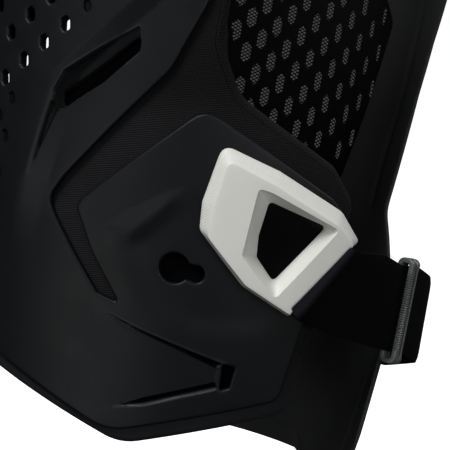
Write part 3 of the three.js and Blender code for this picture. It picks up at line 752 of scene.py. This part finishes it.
SCOOP_RING = loop(SCOOP, 1.6)
TAIL_RING = loop(SCOOP_TAIL, 1.2)
UPPER_RING = loop(ARROW_UPPER, 1.6)
LOWER_RING = loop(ARROW_LOWER, 1.6)
POST_RING = loop(ARROW_POST, 1.2)
SCOOP_LIP = [(70, -221), (53, -233), (39, -244), (35, -253), (31, -270), (27, -290)]
MOUTH_RING = loop(SCOOP_MOUTH, 1.6)
NOTCH_RING = loop(ARROW_NOTCH, 1.2)
PIN_POCKET = circle(KEYHOLE.s + 3, KEYHOLE.z, 10.5, 40)
DISH_RING = loop([
    (80, -306, 6), (99, -287, 6), (128, -284, 10), (150, -310, 14), (140, -345, 14),
    (113, -349, 10), (98, -346, 8), (85, -342, 8), (75, -327, 8), (68, -312, 4),
], 2.0)
FACET_TOP = [(63, -307), (73, -299), (93, -287), (99, -285.5)]
FACET_LOW = [(63, -307), (77, -307), (87, -298), (99, -285.5)]


# The shell's recesses: their depths and the run over which they slope.
RECESS = Table(
    scoop=0.7, scoop_more=1.6, scoop_run=8.0, tail=1.3, arrow_slope=1.5, arrow=2.1,
    dish=0.5, dish_run=9.0, blind=1.2, blind_size=0.92,
)
RECESS_REACH = Table(s=160, z=-200)
# The facet's rise, fall and reach in s; its tone is the gain of the painted highlight on it.
FACET = Table(height=1.1, fall=10.0, start=63, full=73, fade=90, end=99, tone=1.6)
# Painted shade: what each hollow keeps of the shell's tone. Painted highlights: each lip's width and what it
# adds.
HOLLOW_PAINTED_SHADE = ((SCOOP_RING, 0.45), (TAIL_RING, 0.5), (LOWER_RING, 0.35))
LIP_PAINTED_HIGHLIGHTS = ((SCOOP_LIP, 0.6, 2.0, False), (UPPER_LIP, 0.6, 3.0, True), (LOWER_LIP, 0.8, 4.0, False))
POST_PAINTED_HIGHLIGHT = 1.6
# The upper arrow's s, and the field slope's z, over which they reach their full depth or their full painted
# shade.
ARROW_DEEPENS = (60, 78)
ARROW_DARKENS = (60, 80)
SLOPE_DARKENS = (-285, -250)


def facet_lines(q):
    return [np.interp(q[:, 0], *np.array(line).T) for line in (FACET_TOP, FACET_LOW)]


# A flat that looks up: it stands out more and more from its top edge down, then falls back.
def facet(q):
    top, low = facet_lines(q)
    share = np.clip((top - q[:, 1]) / np.maximum(top - low, 0.3), 0, 1)
    fall = smooth(low - q[:, 1], 0.0, FACET.fall)
    grown = smooth(q[:, 0], FACET.start, FACET.full)
    crest = FACET.height * grown * (1 - smooth(q[:, 0], FACET.fade, FACET.end))
    return crest * np.where(q[:, 1] > low, share, 1 - fall)


# A painted highlight on the facet, brightest towards its low-s end.
def facet_painted_highlight(q):
    top, low = facet_lines(q)
    on = smooth(top - q[:, 1], 0.0, 0.8) * smooth(q[:, 1] - low, -0.1, 0.7)
    on *= (q[:, 0] > FACET.start) & (q[:, 0] < FACET.end)
    return FACET.tone * on * (1 - 0.75 * smooth(q[:, 0], FACET.start + 5, FACET.end + 1))


def field_rise(side, z):
    share = 1 - np.clip((side - field_edge(z)) / FIELD.slope, 0, 1)
    return FIELD.height * share * smooth(z, FIELD.low, FIELD.high)


def shell_height(p):
    both_sides = folded(p)
    side, z = both_sides[:, 0], both_sides[:, 1]
    height = field_rise(side, z)
    near = (side < RECESS_REACH.s) & (z < RECESS_REACH.z)
    q = both_sides[near]
    slope = np.clip(line_distance(q, SCOOP_LIP) / RECESS.scoop_run, 0, 1)
    change = -smooth(signed(q, SCOOP_RING), 0, 0.7) * (RECESS.scoop + RECESS.scoop_more * slope)
    change -= smooth(signed(q, TAIL_RING), -0.2, 1.4) * RECESS.tail
    grown = smooth(q[:, 0], *ARROW_DEEPENS)
    for ring, share in ((UPPER_RING, grown), (LOWER_RING, 1)):
        change -= np.clip(signed(q, ring) * RECESS.arrow_slope, 0, RECESS.arrow) * share
    change -= smooth(signed(q, DISH_RING), -1.0, RECESS.dish_run) * RECESS.dish
    change += facet(q)
    for s, middle in BLIND_HOLES:
        hollow = slanted_hole(s, middle, RECESS.blind_size)
        change -= smooth(signed(q, hollow), -0.1, 0.6) * RECESS.blind
    height[near] += change
    return height


def front_shell():
    holes = [slanted_hole(s, z) for s, z in hole_centres()]
    holes += both([MOUTH_RING, NOTCH_RING, keyhole_loop()])
    recesses = both([SCOOP_RING, TAIL_RING, UPPER_RING, LOWER_RING, POST_RING])
    recesses += both([slanted_hole(s, z, RECESS.blind_size) for s, z in BLIND_HOLES])
    crease = [(float(field_edge(z)), z) for z in (-130, -200, -245, -290)]
    foot = [(s + FIELD.slope, z) for s, z in crease]
    lines = [crease, foot, FACET_TOP, FACET_LOW]
    lips = [SCOOP_LIP, UPPER_LIP, LOWER_LIP]
    lines += [[(-s, z) for s, z in line] for line in lines]
    lips += [[(-s, z) for s, z in line] for line in lips]
    return plate("front_shell_plate", chest, loop(FRONT_SHELL), holes, shell_height,
                 lambda p: shell_base(p) - DEPTH.shell, SHELL, 2.7, 1.1, 0.3, recesses, lines,
                 tone=shell_painted_light, lips=lips)


# The inner face follows the field, and never comes so near the recesses that they break through.
def shell_base(p):
    return np.minimum(field_rise(np.abs(p[:, 0]), p[:, 1]), shell_height(p) + DEPTH.shell - 0.5)


# A factor that falls from one to share across a ring's edge; the shell and the pad paint shade with it.
def dimmed(q, ring, share, low=-0.1, high=0.6, amount=1.0):
    return 1 - (1 - share) * smooth(signed(q, ring), low, high) * amount


# How pale each place of the shell is, all of it painted light: painted shade in the hollows, under the clip's
# crown, in the blind holes and on the field's slope, and painted highlights on the lips, the facet and the
# arrow's post.
def shell_painted_light(p):
    q = folded(p)
    tone = np.ones(len(q))
    grown = smooth(q[:, 0], *ARROW_DARKENS)
    # Painted shade in the scoop, its tail and the arrow grooves, the upper groove's growing along s.
    for ring, share in HOLLOW_PAINTED_SHADE:
        tone *= dimmed(q, ring, share)
    tone *= dimmed(q, UPPER_RING, 0.2, amount=grown)
    tone += facet_painted_highlight(q)
    # A painted highlight on the arrow's raised post.
    tone += POST_PAINTED_HIGHLIGHT * smooth(signed(q, POST_RING), -0.2, 0.5)
    # Painted highlights along the lips of the scoop and the arrow grooves.
    for line, width, gain, grows in LIP_PAINTED_HIGHLIGHTS:
        on_lip = 1 - smooth(line_distance(q, line), width * 0.4, width * 1.5)
        tone += gain * (grown if grows else 1) * on_lip
    # Painted shade on the shell under the clip's crown, seen through its window.
    tone *= dimmed(q, CROWN_RING, 0.2, 2.0, 6.0)
    # Painted shade in the blind holes.
    for s, z in BLIND_HOLES:
        tone *= dimmed(q, slanted_hole(s, z), 0.5, high=0.5)
    # Painted shade on the field's slope past the crease, which turns away from the key light.
    past = q[:, 0] - field_edge(q[:, 1])
    slope = (past > 0) & (past < FIELD.slope)
    return tone * (1 - 0.2 * slope * smooth(q[:, 1], *SLOPE_DARKENS))


# The front pad: rolled edges, holes behind the shell's own and a pocket round each clip's pin.
def pad_holes():
    holes = []
    for column in PAD_HOLE.columns:
        s = HOLE.step_s * column
        z = HOLE.z0 + HOLE.rise * column - HOLE.step_z - PAD_HOLE.down
        inward = PAD_HOLE.inward - PAD_HOLE.less * column
        holes.append(slanted_hole(s - inward, z, PAD_HOLE.wide, PAD_HOLE.tall))
    return both(holes)


PAD_TONES = Table(arm=0.3, arm_from=-264, arm_to=-240, low=0.45, low_from=-386, low_to=-374)


# Painted shade behind the shell's openings and in each pin's pocket, the darker armhole edge and the paler
# lower roll.
def pad_painted_shade_and_tone(p):
    q = folded(p)
    tone = np.ones(len(q))
    for ring, share in ((MOUTH_RING, 0.1), (NOTCH_RING, 0.1), (PIN_POCKET, 0.25)):
        tone *= dimmed(q, ring, share, -6.0, -2.0)
    t = PAD_TONES
    tone *= 1 - t.arm * smooth(q[:, 1], t.arm_from, t.arm_to)
    return tone * (1 + t.low * (1 - smooth(q[:, 1], t.low_from, t.low_to)))


def front_pad():
    def high(p):
        return DEPTH.pad_out - DEPTH.pocket * smooth(signed(folded(p), PIN_POCKET), 0, 2.0)

    return plate("front_pad_textile", chest, loop(FRONT_PAD), pad_holes(), high,
                 lambda p: DEPTH.pad_in, TEXTILE, 3.2, 3.0, 3.0,
                 both([PIN_POCKET, MOUTH_RING, NOTCH_RING]), edge_rings=(0.1, 0.3, 0.6, 0.95, 1.25),
                 tone=pad_painted_shade_and_tone)


def back_pad():
    return plate("back_pad_lining", back, loop(BACK_PAD), [loop(WINDOW)], back_high, back_low, LINING,
                 3.2, 0.8, 0.8, lines=BACK_LINES, flips=True, edge_rings=(0.25, 0.6, 1.0, 2.0))


# The grooves and the low roll of the back's inner face.
BACK_GROOVE = [(86, -196), (83, -222), (80, -242), (77, -258), (72, -280), (70, -300)]
WING_GROOVE = [(118, -338), (126, -358), (119, -378), (113, -400), (104, -424)]
LOW_ROLL = [(0, -412), (50, -411), (62, -420)]
BACK_LINES = both([np.array(line, float) for line in (BACK_GROOVE, WING_GROOVE, LOW_ROLL)])


def back_high(p):
    levels = np.array(BACK_PAD_EDGE, float)
    edge = np.interp(p[:, 1], levels[:, 0], levels[:, 1])
    thin = smooth(np.abs(p[:, 0]), edge - DEPTH.back_taper, edge)
    return DEPTH.back_out + (DEPTH.back_edge - DEPTH.back_out) * thin


def back_low(p):
    q = folded(p)
    depth = np.full(len(p), DEPTH.back_in)
    for line, size in ((BACK_GROOVE, 1.2), (WING_GROOVE, 1.2), (LOW_ROLL, 0.8)):
        depth += size * (1 - smooth(line_distance(q, line), 0.2, 2.2))
    return np.minimum(depth, back_high(p) - 1.0)


def slot_ring(s, z):
    a = SLOT.width / 2
    b = SLOT.height / 2
    corners = [
        (s - a, z - b * 0.5, 1), (s, z - b, 1), (s + a, z - b * 0.5, 1),
        (s + a, z + b * 0.5, 1), (s, z + b, 1), (s - a, z + b * 0.5, 1),
    ]
    return loop(corners, 2.4, 3)


WINDOW_SIDE = Table(s=57, z=-216, above=-0.8, below=0.25)


# The s where the window ends at a height z, near enough to choose the slots by.
def window_edge(z):
    rise = z - WINDOW_SIDE.z
    return WINDOW_SIDE.s + rise * (WINDOW_SIDE.above if rise > 0 else WINDOW_SIDE.below)


def slot_centres():
    centres = []
    for column in range(-SLOT_ROWS.columns, SLOT_ROWS.columns + 1):
        s = SLOT.step_s * column
        first = SLOT.z0 + SLOT.slope * column
        for row in range(-4, 5):
            z = first + SLOT.step_z * (row if column % 2 == 0 else row + 0.5)
            within = abs(s) < window_edge(z) - SLOT_ROWS.margin
            if within and SLOT_ROWS.low < z < SLOT_ROWS.high:
                centres.append((s, z))
    return centres


def back_shell():
    holes = [slot_ring(s, z) for s, z in slot_centres()]

    def high(p):
        thin = smooth(np.abs(p[:, 0]), DEPTH.ridge_from, DEPTH.ridge_to)
        return DEPTH.plate_out + DEPTH.ridge * (1 - thin)

    return plate("back_shell_plate", back, loop(BACK_SHELL), holes, high,
                 lambda p: DEPTH.plate_in, PLATE, 3.6, 0.9, 0.4, flips=True)


# The fine perforated sheet: staggered rows of six-sided holes, a apart in each row and b_z between rows.
CELL = Table(a=3.0, b_s=1.5, b_z=0.86, hole_s=0.8, hole_z=0.54, margin=1.9)
CELL_ROWS = Table(low=-340, high=-80, columns=22)
FAR_FROM_EDGES = 9.0


def row_shift(row):
    return (row % 2) * CELL.b_s


# Each hole's middle, under its row and twice its s, both whole numbers.
def mesh_holes(inner):
    keys, middles = [], []
    for row in range(int(CELL_ROWS.low / CELL.b_z), int(CELL_ROWS.high / CELL.b_z)):
        for column in range(-CELL_ROWS.columns, CELL_ROWS.columns + 1):
            s = column * CELL.a + row_shift(row)
            keys.append((row, round(s * 2)))
            middles.append((s, row * CELL.b_z))
    middles = np.array(middles)
    ok = inside(middles, inner) & (ring_distance(middles, [inner]) > CELL.margin)
    return {key: middle for key, middle, kept in zip(keys, middles, ok) if kept}


# Whether a point lies in one of the six-sided holes.
def in_hole(s, z, holes):
    for row in (math.floor(z / CELL.b_z), math.ceil(z / CELL.b_z)):
        shift = row_shift(row)
        hole_s = round((s - shift) / CELL.a) * CELL.a + shift
        ds = abs(s - hole_s) / CELL.hole_s
        dz = abs(z - row * CELL.b_z) / CELL.hole_z
        if (row, round(hole_s * 2)) in holes and ds < 0.867 and dz + ds * 0.577 < 1.0:
            return True
    return False


def back_mesh():
    inner = beside(loop(WINDOW), 0.5)
    holes = mesh_holes(inner)
    turn = np.arange(6) * math.pi / 3 + math.pi / 6
    hexagon = np.stack([CELL.hole_s * np.cos(turn), CELL.hole_z * np.sin(turn)], axis=-1)
    rings = [inner] + [middle + hexagon for middle in holes.values()]
    flat, tris = triangulated(np.concatenate(rings), ring_edges(rings))
    middle = flat[tris].mean(axis=1)
    solid = np.array([not in_hole(s, z, holes) for s, z in middle])
    tris = turned_alike(flat, tris[inside(middle, inner) & solid])
    where = back(flat[:, 0], flat[:, 1], DEPTH.mesh)
    obj = make_mesh("back_mesh_liner", where, tris, flat, np.full(len(flat), FAR_FROM_EDGES), MESH, True)
    add_veil(obj, inner)
    return obj


# The knit's fine second face lies under the first one and lets most of the light through.
def add_veil(obj, ring):
    low, high = ring.min(axis=0), ring.max(axis=0)
    grid = [(s, z) for z in np.arange(low[1], high[1], 5.0) for s in np.arange(low[0], high[0], 5.0)]
    grid = np.array(grid)
    grid = grid[inside(grid, ring) & (ring_distance(grid, [ring]) > 2)]
    flat, tris = triangulated(np.concatenate([ring, grid]), ring_edges([ring]), 1)
    where = back(flat[:, 0], flat[:, 1], DEPTH.veil) * MM
    tool = bmesh.new()
    tool.from_mesh(obj.data)
    made = [tool.verts.new(p) for p in where]
    for tri in tris:
        new = tool.faces.new([made[v] for v in tri])
        new.material_index = 1
        new.smooth = True
    tool.to_mesh(obj.data)
    tool.free()
    obj.data.materials.append(VEIL)


# The side clip: a crown inside a bevelled foot, a drafted window, and a pocket for the strap below.
CLIP_DEPTH = Table(
    foot=0.7, rim=2.6, crown=8.4, crown_round=0.25,
    window=6.2, lip=0.5, pocket=3.8, least=1.9,
)
FOOT_RING = loop(CLIP_FOOT, 0.9)
CROWN_RING = loop(CLIP_CROWN, 0.9)
TOP_RING = loop(CLIP_WINDOW_TOP, 0.9)
HOLE_RING = loop(CLIP_WINDOW_FOOT, 0.9)
BEVEL_STARTS = (-303, -299)
STRAP_POCKET = loop([(160.5, -296.5, 0), (138, -324, 0), (150, -340, 0), (180, -305, 0)], 2.0)


def clip_height(p):
    q = folded(p)
    crown = signed(q, CROWN_RING)
    to_crown = np.maximum(-crown, 0)
    to_foot = ring_distance(q, [FOOT_RING])
    share = to_crown / np.maximum(to_crown + to_foot, 1e-6)
    bevel = (CLIP_DEPTH.crown - CLIP_DEPTH.rim) * share
    height = CLIP_DEPTH.crown - bevel - CLIP_DEPTH.crown_round * (1 - smooth(crown, -1.2, 1.2))
    into = np.maximum(signed(q, TOP_RING), 0)
    to_hole = ring_distance(q, [HOLE_RING])
    drop = into / np.maximum(into + to_hole, 1e-6)
    return height - (CLIP_DEPTH.window * drop + CLIP_DEPTH.lip * smooth(into, 0, 0.8))


def clip_low(p):
    under = smooth(signed(folded(p), STRAP_POCKET), -0.2, 0.4)
    pocket = CLIP_DEPTH.foot + CLIP_DEPTH.pocket * under
    return np.minimum(pocket, clip_height(p) - CLIP_DEPTH.least)


# On the clip the tone marks the finely ribbed bevel along its top and front edges.
def ribbed_bevel(p):
    q = folded(p)
    return smooth(-signed(q, CROWN_RING), 0.0, 1.0) * smooth(q[:, 1], *BEVEL_STARTS)


def side_clip(side, word):
    rings = [FOOT_RING, HOLE_RING, CROWN_RING, TOP_RING]
    if side < 0:
        rings = [flip(ring) for ring in rings]
    outline, hole, *recesses = rings
    return plate("side_clip_moulding_" + word, chest, outline, [hole], clip_height, clip_low, CLIP,
                 1.2, 0.9, 0.3, recesses, edge_rings=(0.25, 0.6, 1.0), tone=ribbed_bevel)


# The side strap's sections, from under the clip, through the slider, to the back wing.
UNDER_CLIP = [
    (163, -298.5, 140.5, -326.5, 2.3), (168, -303.5, 146, -332.5, 2.3), (175, -306.5, 153, -338, 2.6),
]
BEFORE_SLIDER = [((141.0, -8, -308.5), (136.5, -26, -344.5))]
AFTER_SLIDER = [((136.5, 31, -320), (136.8, 27, -358.5)), ((129.0, 40, -323.5), (129.5, 36, -361.5))]
ON_BACK = [(112, -328, -366, 8.7), (104, -329, -367, 9.3), (94, -330, -368, 9.4)]
SLIDER_SIZE = Table(length=8.6, clear=0.35, depth=2.4, reach=2.0)
SEAT = Table(x=140.0, y=9.3, z=-333.0, turn=4.0, tilt=-7.0)
STRAP = Table(thick=3.0, wide=38.0)


def slider_seat():
    place = Matrix.Translation((SEAT.x, SEAT.y, SEAT.z))
    tilt = Matrix.Rotation(math.radians(SEAT.tilt), 4, "X")
    turn = Matrix.Rotation(math.radians(SEAT.turn), 4, "Z")
    return place @ tilt @ turn


def strap_rows(across):
    t = np.linspace(0, 1, across)
    rows = []
    for s1, z1, s2, z2, depth in UNDER_CLIP:
        rows.append(chest(s1 + (s2 - s1) * t, z1 + (z2 - z1) * t, depth))
    for top, low in BEFORE_SLIDER:
        rows.append(np.outer(1 - t, top) + np.outer(t, low))
    seat = slider_seat()
    beyond = SLIDER_SIZE.length / 2 + SLIDER_SIZE.reach
    for offset in (-beyond, 0.0, beyond):
        line = [seat @ Vector((0, offset, STRAP.wide * (0.5 - v))) for v in t]
        rows.append(np.array([tuple(v) for v in line]))
    for top, low in AFTER_SLIDER:
        rows.append(np.outer(1 - t, top) + np.outer(t, low))
    for s, z1, z2, depth in ON_BACK:
        rows.append(back(s, z1 + (z2 - z1) * t, depth))
    return np.array(rows)


# Rows of points are joined by a curve through them, a little straightened, per steps between each pair.
def eased(rows, per, straighter=0.3):
    out = []
    count = len(rows)
    for i in range(count - 1):
        a = rows[max(i - 1, 0)]
        b, c = rows[i], rows[i + 1]
        d = rows[min(i + 2, count - 1)]
        for k in range(per):
            t = k / per
            ease = 0.5 * (2 * b + (c - a) * t + (2 * a - 5 * b + 4 * c - d) * t * t
                          + (3 * b - a - 3 * c + d) * t ** 3)
            straight = b + (c - b) * t
            out.append((1 - straighter) * ease + straighter * straight)
    out.append(rows[-1])
    return np.array(out)


BAND_LIP = 0.35


# A flat band along rows of points, with rounded edges.
def band(name, rows, thick, material, side, tone=None):
    count, across, _ = rows.shape
    wide = np.gradient(rows, axis=1)
    normal = np.cross(np.gradient(rows, axis=0), wide)
    normal /= np.maximum(np.linalg.norm(normal, axis=2, keepdims=True), 1e-9)
    steps = np.linalg.norm(np.diff(rows[:, across // 2], axis=0), axis=1)
    length = np.concatenate([[0], np.cumsum(steps)])
    spread = np.linalg.norm(wide[:, 0], axis=1)
    half = np.full(across, thick / 2)
    half[[0, -1]] = thick / 2 - 2 * BAND_LIP
    half[[1, -2]] = thick / 2 - 0.3 * BAND_LIP
    lift = normal * half[:, None]
    points = np.concatenate([rows + lift, (rows - lift)[:, ::-1]], axis=1).reshape(-1, 3)
    plan = np.stack([np.repeat(length, across), np.outer(spread, np.arange(across)).ravel()], axis=-1)
    plan = plan.reshape(count, across, 2)
    plan = np.concatenate([plan, plan[:, ::-1]], axis=1).reshape(-1, 2)
    shade = None if tone is None else tone(plan[:, 0])
    obj = make_mesh(name, points * np.array([side, 1, 1]), band_faces(count, across), plan,
                    np.full(len(points), FAR_FROM_EDGES), material, angle=60, tone=shade)
    tool = bmesh.new()
    tool.from_mesh(obj.data)
    bmesh.ops.recalc_face_normals(tool, faces=tool.faces)
    tool.to_mesh(obj.data)
    tool.free()
    return obj


# Sides between one section and the next, and a strip of faces over each end.
def band_faces(count, across):
    ring = 2 * across
    faces = []
    for i in range(count - 1):
        for k in range(ring):
            a = i * ring + k
            b = i * ring + (k + 1) % ring
            faces.append((a, b, b + ring, a + ring))
    last = (count - 1) * ring
    for k in range(across - 1):
        m = ring - 1 - k
        faces.append((k, m, m - 1, k + 1))
        faces.append((last + k, last + k + 1, last + m - 1, last + m))
    return faces


# A painted highlight makes the doubled fold beside the clip paler than the smooth part behind it.
FOLD = Table(gain=24.0, start=11.5, end=14.5)


def strap_painted_fold_highlight(along):
    return 1 + FOLD.gain * (1 - smooth(along, FOLD.start, FOLD.end))


def side_strap(side, word):
    rows = eased(strap_rows(15), 7)
    return band("side_strap_elastic_" + word, rows, STRAP.thick - 0.2, ELASTIC, side, strap_painted_fold_highlight)


# The slider: two rounded loops side by side, the one nearer the clip with a gripped, ribbed front bar.
# A loop's bars are as wide as width, and its ends, past the strap's edges, as wide as end_width.
SLIDER_LOOPS = [
    {"middle": -1.75, "width": 2.7, "end_middle": -1.75, "end_width": 2.7, "ribbed": True},
    {"middle": 1.35, "width": 1.1, "end_middle": 1.6, "end_width": 2.9, "ribbed": False},
]
SLIDER_RAIL = 4.1
SLIDER_DROP = 1.0
SLIDER_CORNER = 3.4
SLIDER_WIDENS = (5.5, 1.5)
SLIDER_RIB = Table(depth=0.22, pitch=1.0, short_of=6)
SLIDER_STEPS = {"long": 280, "short": 16, "corner": 10}


# A closed round-cornered path in the loop's x and z, with the outward direction at each point.
def loop_path(half_x, half_z, radius):
    path = []
    for quarter in range(4):
        turn = quarter * math.pi / 2
        sx = 1 if quarter in (0, 3) else -1
        sz = 1 if quarter in (0, 1) else -1
        for k in range(SLIDER_STEPS["corner"] + 1):
            a = turn + math.pi / 2 * k / SLIDER_STEPS["corner"]
            x = sx * (half_x - radius) + radius * math.cos(a)
            z = sz * (half_z - radius) + radius * math.sin(a)
            path.append((x, z, math.cos(a), math.sin(a)))
        steps = SLIDER_STEPS["short" if quarter in (0, 2) else "long"]
        x0, z0, nx, nz = path[-1]
        x1, z1 = (-x0, z0) if quarter in (0, 2) else (x0, -z0)
        for k in range(1, steps):
            t = k / steps
            path.append((x0 + (x1 - x0) * t, z0 + (z1 - z0) * t, nx, nz))
    return path


def slider_loop(tool, middle, width, end_middle, end_width, ribbed):
    size = SLIDER_SIZE
    half_x = STRAP.thick / 2 + size.clear + size.depth
    half_z = STRAP.wide / 2 + size.clear + SLIDER_RAIL
    section = rounded([(-1, -1, 0.5), (1, -1, 0.5), (1, 1, 0.5), (-1, 1, 0.5)], 3)
    rings = []
    for x, z, nx, nz in loop_path(half_x, half_z, SLIDER_CORNER):
        on_front = ribbed and nx > 0.99 and abs(z) < half_z - SLIDER_RIB.short_of
        rib = SLIDER_RIB.depth * math.cos(z * 2 * math.pi / SLIDER_RIB.pitch) if on_front else 0.0
        end = float(smooth(np.array(abs(z)), *(half_z - v for v in SLIDER_WIDENS)))
        centre = middle + (end_middle - middle) * end
        half = (width + (end_width - width) * end) / 2
        ring = []
        for out, along in section:
            deep = (out - 1) * size.depth / 2 + (rib if out > 0 else 0)
            across = centre + along * half + (-rib if along < 0 else 0)
            ring.append(tool.verts.new((x + nx * deep, across, z + nz * deep - SLIDER_DROP)))
        rings.append(ring)
    count = len(section)
    for low, high in zip(rings, rings[1:] + rings[:1]):
        for k in range(count):
            j = (k + 1) % count
            tool.faces.new((low[k], low[j], high[j], high[k]))


def strap_slider(side, word):
    name = "strap_slider_frame_" + word
    tool = bmesh.new()
    for values in SLIDER_LOOPS:
        slider_loop(tool, **values)
    bmesh.ops.recalc_face_normals(tool, faces=tool.faces)
    bmesh.ops.transform(tool, matrix=slider_seat(), verts=tool.verts)
    for v in tool.verts:
        v.co = Vector((v.co.x * side, v.co.y, v.co.z)) * MM
    if side < 0:
        bmesh.ops.reverse_faces(tool, faces=tool.faces)
    mesh = bpy.data.meshes.new(name)
    tool.to_mesh(mesh)
    tool.free()
    count = len(mesh.vertices)
    finish_mesh(mesh, np.zeros((count, 2)), np.zeros(count), 50)
    mesh.materials.append(SLIDER)
    return linked(name, mesh)


# The shoulder straps.
SHOULDER = Table(s=70.0, half=22.0)
SHOULDER_FRONT = (-74, -61, -48)
SHOULDER_ARCH = [
    (-59.5, -31, 0.9), (-50, -14, 0.7), (-36, -3.5, 0.4), (-18, 0.8, 0.2), (0, 1.6, 0),
    (24, 0.6, -0.2), (46, -3.5, -0.4), (66, -10, -0.6), (80, -19, -0.85),
]
SHOULDER_BACK = (-33, -36, -48, -61)
STRAP_SEAT = 0.7


def shoulder_strap(side, word):
    s = np.linspace(SHOULDER.s - SHOULDER.half, SHOULDER.s + SHOULDER.half, 13)
    lift = STRAP_SEAT + STRAP.thick / 2
    radius = CHEST.radius
    arc = radius * (math.cos(SHOULDER.s / radius) - np.cos(s / radius))
    rows = [chest(s, z, DEPTH.pad_out + lift) for z in SHOULDER_FRONT]
    for y, z, share in SHOULDER_ARCH:
        rows.append(np.stack([radius * np.sin(s / radius), y + share * arc, np.full(len(s), z)], axis=-1))
    rows += [back(s, z, DEPTH.back_out + lift) for z in SHOULDER_BACK]
    rows = eased(np.array(rows), 4)
    return band("shoulder_strap_webbing_" + word, rows, STRAP.thick - 0.1, WEBBING, side)


# The camera, aimed at a point of the chest.
VIEW = {
    "azimuth": 42.0, "elevation": 8.0, "roll": 6.5,
    "distance": 1050.0, "target_s": 116.5, "target_z": -300.0, "lens": 200.0,
}


def camera():
    az, el, roll = (math.radians(VIEW[k]) for k in ("azimuth", "elevation", "roll"))
    away = Vector((math.sin(az) * math.cos(el), -math.cos(az) * math.cos(el), math.sin(el)))
    level = Vector((math.cos(az), math.sin(az), 0))
    up = away.cross(level)
    right = level * math.cos(roll) + up * math.sin(roll)
    top = up * math.cos(roll) - level * math.sin(roll)
    target = Vector(chest(VIEW["target_s"], VIEW["target_z"], 0.0))
    where = (target + away * VIEW["distance"]) * MM
    data = bpy.data.cameras.new("camera")
    data.lens = VIEW["lens"]
    data.sensor_width = 36.0
    data.clip_end = 20.0
    obj = linked("camera", data)
    turn = Matrix((right, top, away)).transposed().to_4x4()
    obj.matrix_world = Matrix.Translation(where) @ turn
    bpy.context.scene.camera = obj


# Each square light's place and side in metres, and its power in watts.
LIGHTS = {
    "key": {"place": (-0.1, -1.3, 1.0), "side": 0.7, "power": 25},
    "low": {"place": (0.1, -1.35, -0.7), "side": 0.8, "power": 3.2},
    "fill": {"place": (1.5, -0.8, 0.1), "side": 0.9, "power": 7},
    "rim": {"place": (0.9, 1.1, 0.8), "side": 0.7, "power": 8},
}
LIGHT_AIM = (0.05, -0.05, -0.28)


def area_light(name, place, side, power):
    data = bpy.data.lights.new(name, "AREA")
    data.shape = "RECTANGLE"
    data.size = data.size_y = side
    data.energy = power
    obj = linked(name, data)
    obj.location = place
    obj.rotation_euler = (Vector(LIGHT_AIM) - Vector(place)).to_track_quat("-Z", "Y").to_euler()


# The camera sees a white world, which lights the part only dimly.
def lighting():
    for name, values in LIGHTS.items():
        area_light(name, **values)
    world = bpy.data.worlds.new("studio")
    bpy.context.scene.world = world
    world.use_nodes = True
    tree = world.node_tree
    seen = tree.nodes["Background"]
    seen.inputs["Color"].default_value = (1, 1, 1, 1)
    seen.inputs["Strength"].default_value = 1.0
    dim = tree.nodes.new("ShaderNodeBackground")
    dim.inputs["Color"].default_value = (0.95, 0.97, 1.0, 1)
    dim.inputs["Strength"].default_value = 0.06
    path = tree.nodes.new("ShaderNodeLightPath")
    mix = tree.nodes.new("ShaderNodeMixShader")
    tree.links.new(path.outputs["Is Camera Ray"], mix.inputs[0])
    tree.links.new(dim.outputs[0], mix.inputs[1])
    tree.links.new(seen.outputs[0], mix.inputs[2])
    tree.links.new(mix.outputs[0], tree.nodes["World Output"].inputs["Surface"])
    bpy.context.scene.view_settings.view_transform = "Standard"


FLOOR = Table(half=6.0, level=-0.56)


def floor():
    mesh = bpy.data.meshes.new("floor")
    corners = ((-1, -1), (1, -1), (1, 1), (-1, 1))
    points = [(x * FLOOR.half, y * FLOOR.half, FLOOR.level) for x, y in corners]
    mesh.from_pydata(points, [], [(0, 1, 2, 3)])
    n = Nodes("pale_floor")
    n.fixed(Base_Color=(0.9, 0.9, 0.9, 1), Roughness=0.9, Emission_Color=(1, 1, 1, 1), Emission_Strength=0.95)
    mesh.materials.append(n.material)
    obj = linked("floor", mesh)
    obj.visible_diffuse = False
    obj.visible_glossy = False


def carry(obj, node):
    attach(obj, "root")
    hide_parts(node)
    return obj


camera()
lighting()
floor()
carry(front_shell(), "front_shell")
carry(front_pad(), "front_pad")
carry(back_pad(), "back_pad")
carry(back_shell(), "back_shell")
carry(back_mesh(), "back_mesh")
for word, side in (("left", 1), ("right", -1)):
    carry(side_clip(side, word), "side_clip_" + word)
    carry(side_strap(side, word), "side_strap_" + word)
    carry(strap_slider(side, word), "strap_slider_" + word)
    carry(shoulder_strap(side, word), "shoulder_strap_" + word)
    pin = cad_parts["clip_pin_" + word]
    pin.data.materials.clear()
    pin.data.materials.append(PIN)
